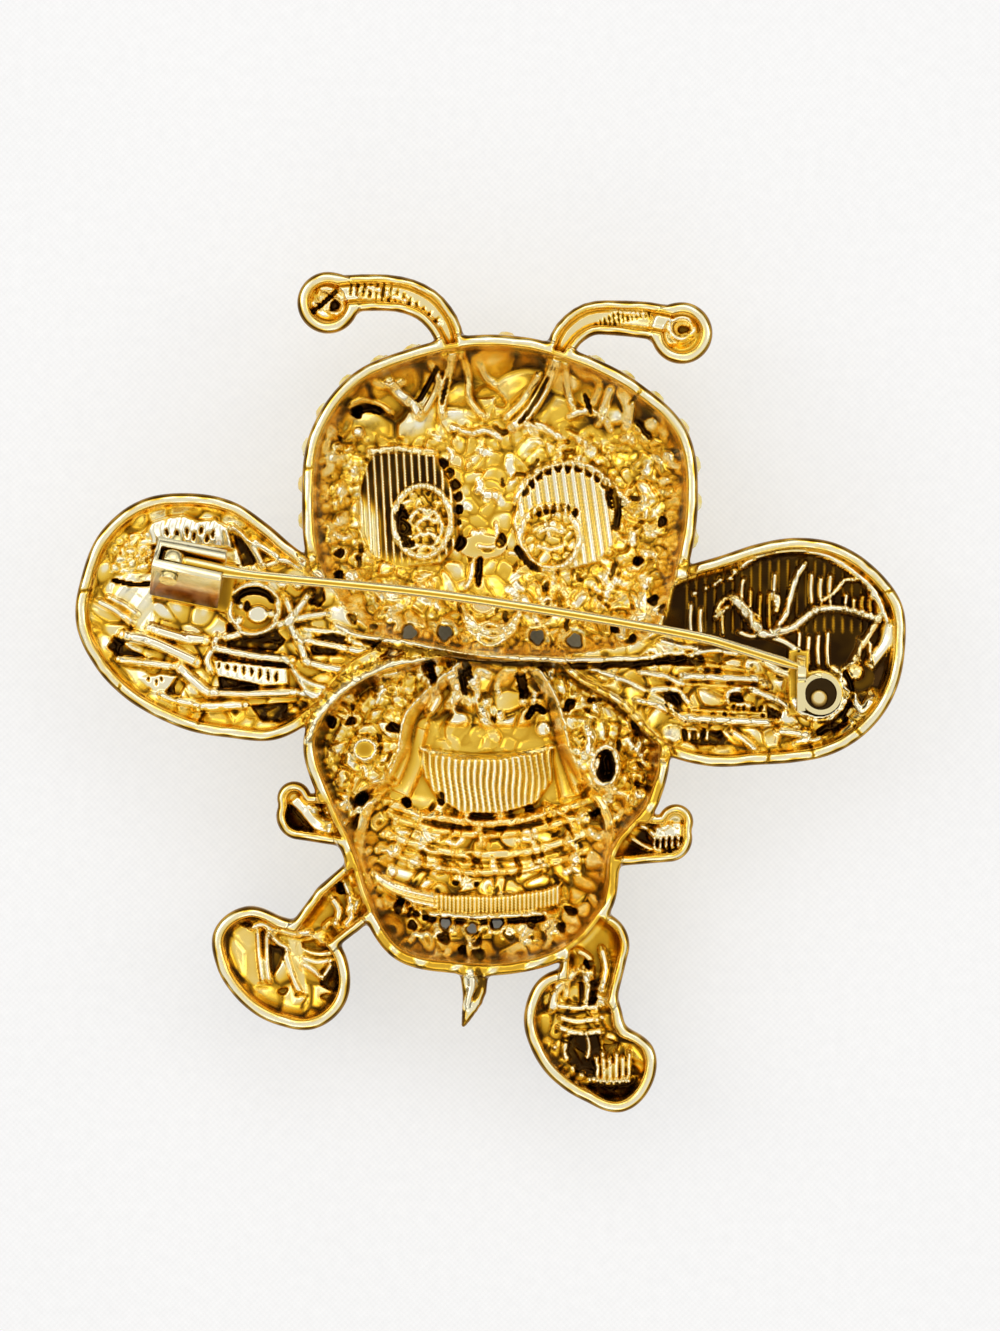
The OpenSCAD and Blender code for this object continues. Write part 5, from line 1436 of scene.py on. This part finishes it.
def stoneMaterial(name):
    material, tree, bsdf, coords = newMaterial(name)
    # painted fire: noise patches run the stones' colour from amber to pale, standing for their flashes of
    # light
    fire = noise(tree, coords, 900.0, 2.0)
    stops = [(0.25, (0.95, 0.55, 0.06)), (0.5, (1.0, 0.8, 0.2)), (0.75, (1.0, 0.95, 0.6))]
    colour = ramp(tree, fire.clamp(), stops)
    fill(tree, bsdf, {"Base Color": colour, "Metallic": 0.35, "IOR": 1.65, "Transmission Weight": 0.15,
                      "Coat Weight": 1, "Coat Roughness": 0.02, "Roughness": fire * 0.08 + 0.03})
    return material


def heightShadedGold(name, stops, low, high):  # a colour for each height, in millimetres, as painted shade: darker low down
    material, tree, bsdf, coords = newMaterial(name)
    z = Num(tree, node(tree, "ShaderNodeSeparateXYZ", None, Vector=coords).outputs[2])
    fine = noise(tree, coords, 1500.0)
    level = (z * (1000 / (high - low)) - low / (high - low)) + (fine - 0.5) * 0.12
    colour = ramp(tree, level.clamp(), stops)
    fill(tree, bsdf, {"Base Color": colour, "Metallic": 1, "Roughness": fine * 0.14 + 0.14})
    addBump(tree, bsdf, fine, 0.2)
    return material


# painted shade on the hinge bracket's outer cheek and the catch: near black low down, pale at the top
bracketShadeTones = [(0.0, (0.05, 0.015, 0.005)), (0.3, (0.30, 0.10, 0.03)), (0.48, (0.55, 0.28, 0.12)),
                (0.6, (0.9, 0.68, 0.42)), (0.8, (0.75, 0.66, 0.4)), (1.0, (1.0, 0.93, 0.68))]
catchShadeTones = [(0.0, (0.012, 0.008, 0.004)), (0.42, (0.09, 0.05, 0.015)), (0.75, (0.6, 0.4, 0.1)),
              (0.88, (0.95, 0.72, 0.25)), (1.0, (1.0, 0.88, 0.5))]
bracketShadedGold = heightShadedGold("bracketShadedGold", bracketShadeTones, 7.1, 10.4)
catchShadedGold = heightShadedGold("catchShadedGold", catchShadeTones, 7.1, 8.95)
castGold = goldMaterial("castGold")
wireGold = goldMaterial("wireGold", 0.22, 0.24)
findingGold = goldMaterial("findingGold", 0.26, 0.22)
prongGold = goldMaterial("prongGold", 0.2, 0.2)
whiteEnamel = enamelMaterial("whiteEnamel", (0.86, 0.85, 0.82), (0.74, 0.73, 0.7))
ivoryEnamel = enamelMaterial("ivoryEnamel", (0.85, 0.78, 0.6), (0.76, 0.66, 0.46))
blackEnamel = enamelMaterial("blackEnamel", (0.012, 0.012, 0.014), (0.03, 0.028, 0.026))
yellowStone = stoneMaterial("yellowStone")
print("materials")


# The casting in five pieces, which share their normals where they meet

cuts = {"left": -8.2, "leftLow": -4.5, "leftHigh": 14, "right": 10.4, "rightLow": -4.8, "rightHigh": 13,
        "crown": 11.5, "face": 1.2}
mx, my, _ = verts[tris].mean(1).T
part = np.select([(mx < cuts["left"]) & (my > cuts["leftLow"]) & (my < cuts["leftHigh"]),
                  (mx > cuts["right"]) & (my > cuts["rightLow"]) & (my < cuts["rightHigh"]),
                  my > cuts["crown"], my > cuts["face"]], [0, 1, 2, 3], 4)
castingNames = ("castingLeftWing", "castingRightWing", "castingCrown", "castingFace", "castingBody")
for k, name in enumerate(castingNames):
    mine = tris[part == k]
    used, flat = np.unique(mine, return_inverse=True)
    mesh = meshFrom(name, verts[used], flat.reshape(mine.shape), tones[used])
    mesh.normals_split_custom_set_from_vertices(normals[used].tolist())
    o = addObject(name, mesh, castGold)
    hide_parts("casting")
    print(name, len(mine))


# Pieces that keep the solid's own shape and get soft edges

def softCopy(nodeName, name, width, segments=3):  # the solid's mesh, merged, with rounded edges
    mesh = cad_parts[nodeName].data.copy()
    merged = bmesh.new()
    merged.from_mesh(mesh)
    bmesh.ops.remove_doubles(merged, verts=merged.verts, dist=1e-7)
    merged.to_mesh(mesh)
    merged.free()
    o = bpy.data.objects.new(name, mesh)
    bpy.context.scene.collection.objects.link(o)
    made = o.modifiers.new("edges", "BEVEL")
    made.width, made.segments, made.angle_limit = width * mm, segments, math.radians(30)
    made.limit_method = "ANGLE"
    ready = bpy.data.meshes.new_from_object(o.evaluated_get(bpy.context.evaluated_depsgraph_get()))
    bpy.data.objects.remove(o)
    ready.materials.clear()
    ready.shade_smooth()
    return ready


softPieces = {  # node: (piece, width of its soft edges, steps across them, material, slot)
    "hinge_rivet": ("rivet", 0.06, 3, findingGold, "gold_findings"),
    "catch": ("catchCup", 0.13, 3, catchShadedGold, "gold_findings"),
    "left_eye": ("leftEye", 0.12, 2, whiteEnamel, "white_enamel"),
    "right_eye": ("rightEye", 0.12, 2, whiteEnamel, "white_enamel"),
    "left_pupil": ("leftPupil", 0.14, 2, blackEnamel, "black_enamel"),
    "right_pupil": ("rightPupil", 0.14, 2, blackEnamel, "black_enamel"),
    "nose": ("noseDrop", 0.14, 2, blackEnamel, "black_enamel"),
    "upper_band": ("upperBand", 0.1, 2, blackEnamel, "black_enamel"),
    "lower_band": ("lowerBand", 0.1, 2, blackEnamel, "black_enamel"),
    "left_wing_enamel": ("leftWingFill", 0.12, 2, ivoryEnamel, "ivory_enamel"),
    "right_wing_enamel": ("rightWingFill", 0.12, 2, ivoryEnamel, "ivory_enamel"),
    "left_shoe_enamel": ("leftShoeFill", 0.12, 2, blackEnamel, "black_enamel"),
    "right_shoe_enamel": ("rightShoeFill", 0.12, 2, blackEnamel, "black_enamel"),
}
for nodeName, (name, width, steps, material, slot) in softPieces.items():
    o = addObject(name, softCopy(nodeName, name, width, steps), material, "brooch")
    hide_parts(nodeName)
print("soft pieces", len(softPieces))


hinge = {"at": (-19.8135, 8.204, 9.35), "along": (0.97887, -0.20446, 0),
         "across": (0.180559, 0.864289, -0.469472), "slot": 0.5, "floor": -0.85}
bracketMesh = softCopy("hinge_bracket", "bracket", 0.1)
centres, facings = (readOut(bracketMesh.polygons, key, 3) for key in ("center", "normal"))
axes = np.array([hinge["along"], hinge["across"], np.cross(hinge["along"], hinge["across"])])
u, v, w = ((centres / mm - np.array(hinge["at"])) @ axes.T).T
_, nv, nw = (facings @ axes.T).T
inSlot = (np.abs(v) < hinge["slot"] + 0.05) & (u > -0.9) & (w > hinge["floor"] - 0.05) & (w < 0.6)
# painted shade: the faces inside the hinge's slot are painted near black, the rest of the bracket pale
slotShadeTone = np.where(inSlot, np.where(nw > 0.7, 1.0, np.where(nv < -0.7, 0.62, 0.92)), 0.14)
bracketMesh.attributes.new("tone", "FLOAT", "FACE").data.foreach_set("value", slotShadeTone.astype(np.float32))
bracketObject = addObject("bracket", bracketMesh, castGold, "brooch")
bracketMesh.materials.append(bracketShadedGold)
bracketMesh.polygons.foreach_set("material_index", ((nv < -0.7) & (v < -0.9)).astype(np.int32))
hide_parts("hinge_bracket")


# Stones and their claws, laid out by Geometry Nodes

def setOut(name, places, turns, sizes, shapeMesh, scale, material):  # one shape at many places
    spots = bpy.data.meshes.new(name + "Spots")
    spots.from_pydata([tuple(p) for p in np.asarray(places) * mm], [], [])
    turnData = spots.attributes.new("turn", "FLOAT_VECTOR", "POINT").data
    turnData.foreach_set("vector", np.asarray(turns, np.float32).ravel())
    sizeData = spots.attributes.new("size", "FLOAT", "POINT").data
    sizeData.foreach_set("value", np.asarray(sizes, np.float32) * mm)
    tree = bpy.data.node_groups.new(name + "Layout", "GeometryNodeTree")
    for label, kind in (("Geometry", "Geometry"), ("Shape", "Object"), ("Scale", "Float"),
                        ("Finish", "Material")):
        tree.interface.new_socket(label, in_out="INPUT", socket_type="NodeSocket" + kind)
    tree.interface.new_socket("Geometry", in_out="OUTPUT", socket_type="NodeSocketGeometry")
    start, end = tree.nodes.new("NodeGroupInput"), tree.nodes.new("NodeGroupOutput")
    given = start.outputs
    turn = node(tree, "GeometryNodeInputNamedAttribute", {"data_type": "FLOAT_VECTOR"}, Name="turn")
    size = node(tree, "GeometryNodeInputNamedAttribute", {"data_type": "FLOAT"}, Name="size")
    shapeInfo = node(tree, "GeometryNodeObjectInfo", None, Object=given["Shape"])
    toTurn = node(tree, "FunctionNodeEulerToRotation", None, i0=turn.outputs[0])
    grow = node(tree, "ShaderNodeMath", {"operation": "MULTIPLY"}, i0=size.outputs[0], i1=given["Scale"])
    lay = node(tree, "GeometryNodeInstanceOnPoints", None, Points=given["Geometry"], Scale=grow.outputs[0],
               Instance=shapeInfo.outputs["Geometry"], Rotation=toTurn.outputs[0])
    real = node(tree, "GeometryNodeRealizeInstances", None, i0=lay.outputs[0])
    finish = node(tree, "GeometryNodeSetMaterial", None, Geometry=real.outputs[0], Material=given["Finish"])
    tree.links.new(finish.outputs[0], end.inputs[0])
    shapeObject = bpy.data.objects.new(name + "Shape", shapeMesh)
    o = bpy.data.objects.new(name + "Points", spots)
    for made in (shapeObject, o):
        bpy.context.scene.collection.objects.link(made)
    modifier = o.modifiers.new("layout", "NODES")
    modifier.node_group = tree
    names = {item.name: item.identifier for item in tree.interface.items_tree if item.in_out == "INPUT"}
    modifier[names["Shape"]] = shapeObject
    modifier[names["Scale"]] = float(scale)
    modifier[names["Finish"]] = material
    mesh = bpy.data.meshes.new_from_object(o.evaluated_get(bpy.context.evaluated_depsgraph_get()))
    for made in (o, shapeObject):
        bpy.data.objects.remove(made)
    mesh.name = name
    return addObject(name, mesh, None, "brooch")


def looseParts(nodeName):  # the points of each solid in a node, in millimetres
    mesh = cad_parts[nodeName].data
    co, pairs = readOut(mesh.vertices, "co", 3), readOut(mesh.edges, "vertices", 2, np.int32)
    points, same = np.unique((co / mm).round(4), axis=0, return_inverse=True)
    ends = same.ravel()[pairs]
    label = np.arange(len(points))
    for _ in range(40):
        low = np.minimum(label[ends[:, 0]], label[ends[:, 1]])
        np.minimum.at(label, ends[:, 0], low)
        np.minimum.at(label, ends[:, 1], low)
    return [points[label == k] for k in np.unique(label)]


cut = {"table": 0.56, "tableHigh": 0.66, "kite": 0.84, "kiteHigh": 0.31, "girdle": 0.07,
       "claw": 0.2, "overhang": 0.38}


def cutStone():  # a round cut: table, stars, kites and girdle
    def ring(n, r, z, turn=0):
        angles = [turn + 2 * math.pi * i / n for i in range(n)]
        return [(r * math.cos(a), r * math.sin(a), z) for a in angles]
    points = (ring(8, cut["table"], cut["tableHigh"]) + ring(8, cut["kite"], cut["kiteHigh"], math.pi / 8)
              + ring(16, 1, 0) + ring(16, 1, -cut["girdle"]))
    faces = [tuple(range(8)), tuple(range(47, 31, -1))]
    for i in range(8):
        j = (i + 1) % 8
        faces += [(i, 8 + i, j), (i, 8 + (i - 1) % 8, 16 + 2 * i, 8 + i), (8 + i, 16 + 2 * i, 17 + 2 * i),
                  (8 + i, 17 + 2 * i, 16 + 2 * j)]
    faces += [(32 + k, 32 + (k + 1) % 16, 16 + (k + 1) % 16, 16 + k) for k in range(16)]
    mesh = bpy.data.meshes.new("cutStone")
    mesh.from_pydata(points, [], faces)
    return mesh


def domeShape(name, rings, top, sides):  # rings of (radius, height) closed by a flat foot and a point
    turns = [2 * math.pi * k / sides for k in range(sides)]
    points = [(r * math.cos(a), r * math.sin(a), z) for r, z in rings for a in turns] + [(0, 0, top)]
    last = sides * (len(rings) - 1)
    faces = [(i + k, i + (k + 1) % sides, i + sides + (k + 1) % sides, i + sides + k)
             for i in range(0, last, sides) for k in range(sides)]
    faces += [(last + k, last + (k + 1) % sides, last + sides) for k in range(sides)]
    faces.append(tuple(range(sides - 1, -1, -1)))
    mesh = bpy.data.meshes.new(name)
    mesh.from_pydata(points, [], faces)
    mesh.shade_smooth()
    return mesh


for nodeName in ("head_stones", "thorax_stones", "belly_stones", "left_tip_stone", "right_tip_stone"):
    places, turns, sizes, clawPlaces, clawTurns = [], [], [], [], []
    for points in looseParts(nodeName):
        far = np.linalg.norm(points - points.mean(0), axis=1)
        outer = far > far.mean()
        seat, table = points[outer].mean(0), points[~outer].mean(0)
        up = (table - seat) / np.linalg.norm(table - seat)
        r = np.linalg.norm(points[outer] - seat, axis=1).mean()
        if nodeName == "head_stones":  # hardly past the rim, as seen from the back
            away = np.array(head["mid"]) - seat[:2]
            over = r * 0.9 - inset(head, seat[:1], seat[1:2])[0] - cut["overhang"]
            if over > 0:
                seat[:2] += away / np.linalg.norm(away) * over
                seat[2] -= min(0.35, 0.8 * over)
        spin = Vector(up).to_track_quat("Z", "Y")
        places.append(seat)
        turns.append(spin.to_euler())
        sizes.append(r)
        for k in range(4):
            a = math.pi / 4 + k * math.pi / 2
            clawPlaces.append(seat + np.array(spin @ Vector((math.cos(a) * r, math.sin(a) * r, 0.1 * r))))
            clawTurns.append(spin.to_euler())
    name = nodeName.split("_")[0] + ("TipStone" if "tip" in nodeName else "Stones")
    stonePiece = setOut(name, places, turns, sizes, cutStone(), 1.0, yellowStone)
    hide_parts(nodeName)
    claw = domeShape("claw", [(0.9, -1.2), (1, -0.2), (0.95, 0.3), (0.6, 0.75)], 0.95, 6)
    setOut(name + "Claws", clawPlaces, clawTurns, np.repeat(sizes, 4), claw, cut["claw"],
           prongGold)
    print(name, len(places))


# A drop of solder in the catch's cup

drop = domeShape("drop", [(0.95, -0.2), (1, 0), (0.96, 0.1), (0.8, 0.19), (0.42, 0.26)], 0.28, 24)
solder = setOut("catchDrop", [(*at(819.5, 698.5), 7.52)], [(0, 0, 0)], [0.58], drop, 1.0, prongGold)
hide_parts("catch")


# The pin: one drawn wire with its eye, bends and point

stem = {"r": 0.31, "eyeR": 0.75, "eyeT": 0.8, "bore": 0.38, "point": 1.6,
        "bends": (hinge["at"], (-15.8926, 7.3845, 9.415), (-2.5275, 5.9792, 10.2848),
                  (13.4684, 3.3377, 9.974), (19.6401, 1.4334, 9.2))}
rivetWay = -np.array(hinge["across"])


def tube(path, wide, tall, sides):  # rings of points along a path, closed at both ends
    ahead = np.gradient(path, axis=0)
    ahead /= np.linalg.norm(ahead, axis=1)[:, None]
    side = np.cross([0, 0, 1.0], ahead)
    side /= np.linalg.norm(side, axis=1)[:, None]
    up = np.cross(ahead, side)
    turn = np.arange(sides) * 2 * math.pi / sides
    rings = (path[:, None] + wide[:, None, None] * np.cos(turn)[None, :, None] * side[:, None]
             + tall[:, None, None] * np.sin(turn)[None, :, None] * up[:, None])
    n = len(path)
    faces = []
    for i in range(n - 1):
        for k in range(sides):
            a, b = i * sides + k, i * sides + (k + 1) % sides
            faces.append((a, b, b + sides, a + sides))
    points = np.vstack([rings.reshape(-1, 3), path[0], path[-1]])
    first, last = len(points) - 2, len(points) - 1
    faces += [(first, (k + 1) % sides, k) for k in range(sides)]
    faces += [(last, (n - 1) * sides + k, (n - 1) * sides + (k + 1) % sides) for k in range(sides)]
    return points, faces


def pydataMesh(name, points, faces):
    mesh = bpy.data.meshes.new(name)
    mesh.from_pydata([tuple(p) for p in np.asarray(points) * mm], [], faces)
    mesh.update()
    mesh.shade_smooth()
    return mesh


bends = np.array(stem["bends"])
way0 = (bends[1] - bends[0]) / np.linalg.norm(bends[1] - bends[0])
way3 = (bends[4] - bends[3]) / np.linalg.norm(bends[4] - bends[3])
bow = curveRows(bends, 16)
startRun = [bends[0] + way0 * t for t in np.linspace(0.62, np.linalg.norm(bends[1] - bends[0]) - 0.3, 12)]
endRun = [bends[3] + way3 * t for t in np.linspace(0.2, np.linalg.norm(bends[4] - bends[3]), 26)]
route = np.array(startRun + list(bow[17:48]) + endRun)
for _ in range(3):
    route[1:-1] = 0.5 * route[1:-1] + 0.25 * (route[:-2] + route[2:])
left = np.linalg.norm(route - bends[4], axis=1)
fromEye = np.linalg.norm(route - bends[0], axis=1)
radius = stem["r"] * np.minimum(1, 0.12 + 0.88 * np.sqrt(np.clip(left / stem["point"], 0, 1)))
wide = radius + 0.12 * smoothStep(5.2, 2.2, fromEye)
wireSides = 28
points, faces = tube(route, wide, radius, wireSides)
wireMesh = pydataMesh("pinWire", points, faces)
turn = np.arange(len(points)) % wireSides * 360 / wireSides
# painted shading on the wire: a dark line along its top and a darker underside
wireShadeTone = 0.16 + 0.5 * np.exp(-((turn - 96) / 24) ** 2) + 0.3 * (np.sin(np.radians(turn)) < 0.1)
wireMesh.attributes.new("tone", "FLOAT", "POINT").data.foreach_set("value", wireShadeTone.astype(np.float32))
wireObject = addObject("pinWire", wireMesh, castGold, "stem")
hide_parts("pin_stem")


def ringAbout(middle, way, profile, turns=64):  # turns a closed profile of (out, along) about an axis
    way = way / np.linalg.norm(way)
    u = np.cross(way, [0, 0, 1.0])
    u /= np.linalg.norm(u)
    v = np.cross(way, u)
    points, faces = [], []
    n = len(profile)
    for k in range(turns):
        a = 2 * math.pi * k / turns
        for out, along in profile:
            points.append(middle + out * (math.cos(a) * u + math.sin(a) * v) + along * way)
        for i in range(n):
            a0, b0 = k * n + i, k * n + (i + 1) % n
            a1, b1 = ((k + 1) % turns) * n + i, ((k + 1) % turns) * n + (i + 1) % n
            faces.append((a0, b0, b1, a1))
    return np.array(points), faces


half, bore, out, soft = stem["eyeT"] / 2, stem["bore"], stem["eyeR"], 0.12
eyeProfile = [(bore, -half + 0.05), (bore + 0.05, -half), (out - soft, -half), (out - 0.03, -half + 0.05),
              (out, -half + soft), (out, half - soft), (out - 0.03, half - 0.05), (out - soft, half),
              (bore + 0.05, half), (bore, half - 0.05)]
points, faces = ringAbout(bends[0], rivetWay, eyeProfile)
eyeObject = addObject("pinEye", pydataMesh("pinEye", points, faces), wireGold, "stem")
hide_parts("pin_stem")


# The cloth, the camera and the light

def clothMaterial():
    material, tree, bsdf, coords = newMaterial("whiteCloth")
    parts = node(tree, "ShaderNodeSeparateXYZ", None, Vector=coords)
    x, y = Num(tree, parts.outputs[0]), Num(tree, parts.outputs[1])
    wander = noise(tree, coords, 300.0, 2.0)
    pace = 2 * math.pi / 0.0004
    warp = (x * pace + wander * 1.2).math("SINE")
    weft = (y * pace + wander * 1.4).math("SINE")
    weave = warp * weft
    slub = noise(tree, coords, 1500.0, 2.0)
    cloud = noise(tree, coords, 60.0, 2.0)
    height = weave * (0.25 + 0.5 * cloud) + slub * 0.6
    tint = (weave * 0.22 + slub * 0.7 + cloud * 0.3).clamp()
    stops = [(0.0, (0.40, 0.40, 0.405)), (0.6, (0.46, 0.46, 0.465)), (1.0, (0.5, 0.5, 0.505))]
    colour = ramp(tree, tint, stops)
    # the cloth glows evenly, dimmed under the brooch as a painted shadow
    reach = ((x * 105 + 0.05).math("POWER", 2.0) + (y * 70 + 0.28).math("POWER", 2.0)).clamp()
    glowAndPaintedShadow = ramp(tree, reach, [(0.0, (0.02, 0.02, 0.02)), (0.8, (0.05, 0.05, 0.05)), (1.0, (1, 1, 1))])
    fill(tree, bsdf, {"Base Color": colour, "Emission Color": glowAndPaintedShadow, "Emission Strength": 0.5,
                      "Roughness": 0.9, "Specular IOR Level": 0.15})
    addBump(tree, bsdf, height, 0.2)
    return material


half = 0.6
floorMesh = bpy.data.meshes.new("cloth")
corners = [(-half, -half, 0), (half, -half, 0), (half, half, 0), (-half, half, 0)]
floorMesh.from_pydata(corners, [], [(0, 1, 2, 3)])
floor = bpy.data.objects.new("cloth", floorMesh)
bpy.context.scene.collection.objects.link(floor)
floorMesh.materials.append(clothMaterial())

camera = bpy.data.cameras.new("camera")
cameraObject = bpy.data.objects.new("camera", camera)
bpy.context.scene.collection.objects.link(cameraObject)
bpy.context.scene.camera = cameraObject
distance, focus, spanHigh = 0.35, 0.008, 0.0832
camera.sensor_width = 36
camera.lens = 36 * distance / spanHigh
cameraObject.location = (0.000565, 0.00166, focus + distance)
camera.clip_start, camera.clip_end = 0.01, 10


def areaLight(name, place, size, power):  # aimed at the brooch
    light = bpy.data.lights.new(name, "AREA")
    light.shape = "RECTANGLE"
    light.size, light.size_y = size
    light.energy = power
    o = bpy.data.objects.new(name, light)
    bpy.context.scene.collection.objects.link(o)
    o.location = place
    o.rotation_mode = "QUATERNION"
    o.rotation_quaternion = (-Vector(place)).to_track_quat("-Z", "Y")


lights = {  # name: (place, size, power)
    "softLeft": ((-0.42, 0.18, 0.42), (0.35, 0.45), 0.6),
    "softRight": ((0.45, 0.1, 0.36), (0.22, 0.4), 0.3),
    "softTop": ((0.05, 0.42, 0.5), (0.5, 0.2), 0.4),
    "softFront": ((-0.05, -0.5, 0.4), (0.4, 0.18), 0.2),
}
for name, settings in lights.items():
    areaLight(name, *settings)
world = bpy.data.worlds.new("studio")
bpy.context.scene.world = world
world.use_nodes = True
tree = world.node_tree
background = tree.nodes["Background"]
around = node(tree, "ShaderNodeTexCoord").outputs["Generated"]
upward = node(tree, "ShaderNodeSeparateXYZ", None, Vector=around)
skyTones = [(0.0, (0.1, 0.1, 0.1)), (0.26, (0.16, 0.155, 0.15)), (0.4, (0.8, 0.79, 0.77)),
            (0.7, (0.84, 0.83, 0.81)), (0.9, (0.80, 0.78, 0.75)), (1.0, (0.76, 0.74, 0.70))]
fill(tree, background, {"i0": ramp(tree, Num(tree, upward.outputs[2]).clamp(), skyTones), "i1": 1.0})
bpy.context.scene.view_settings.view_transform = "Standard"
print("stage")
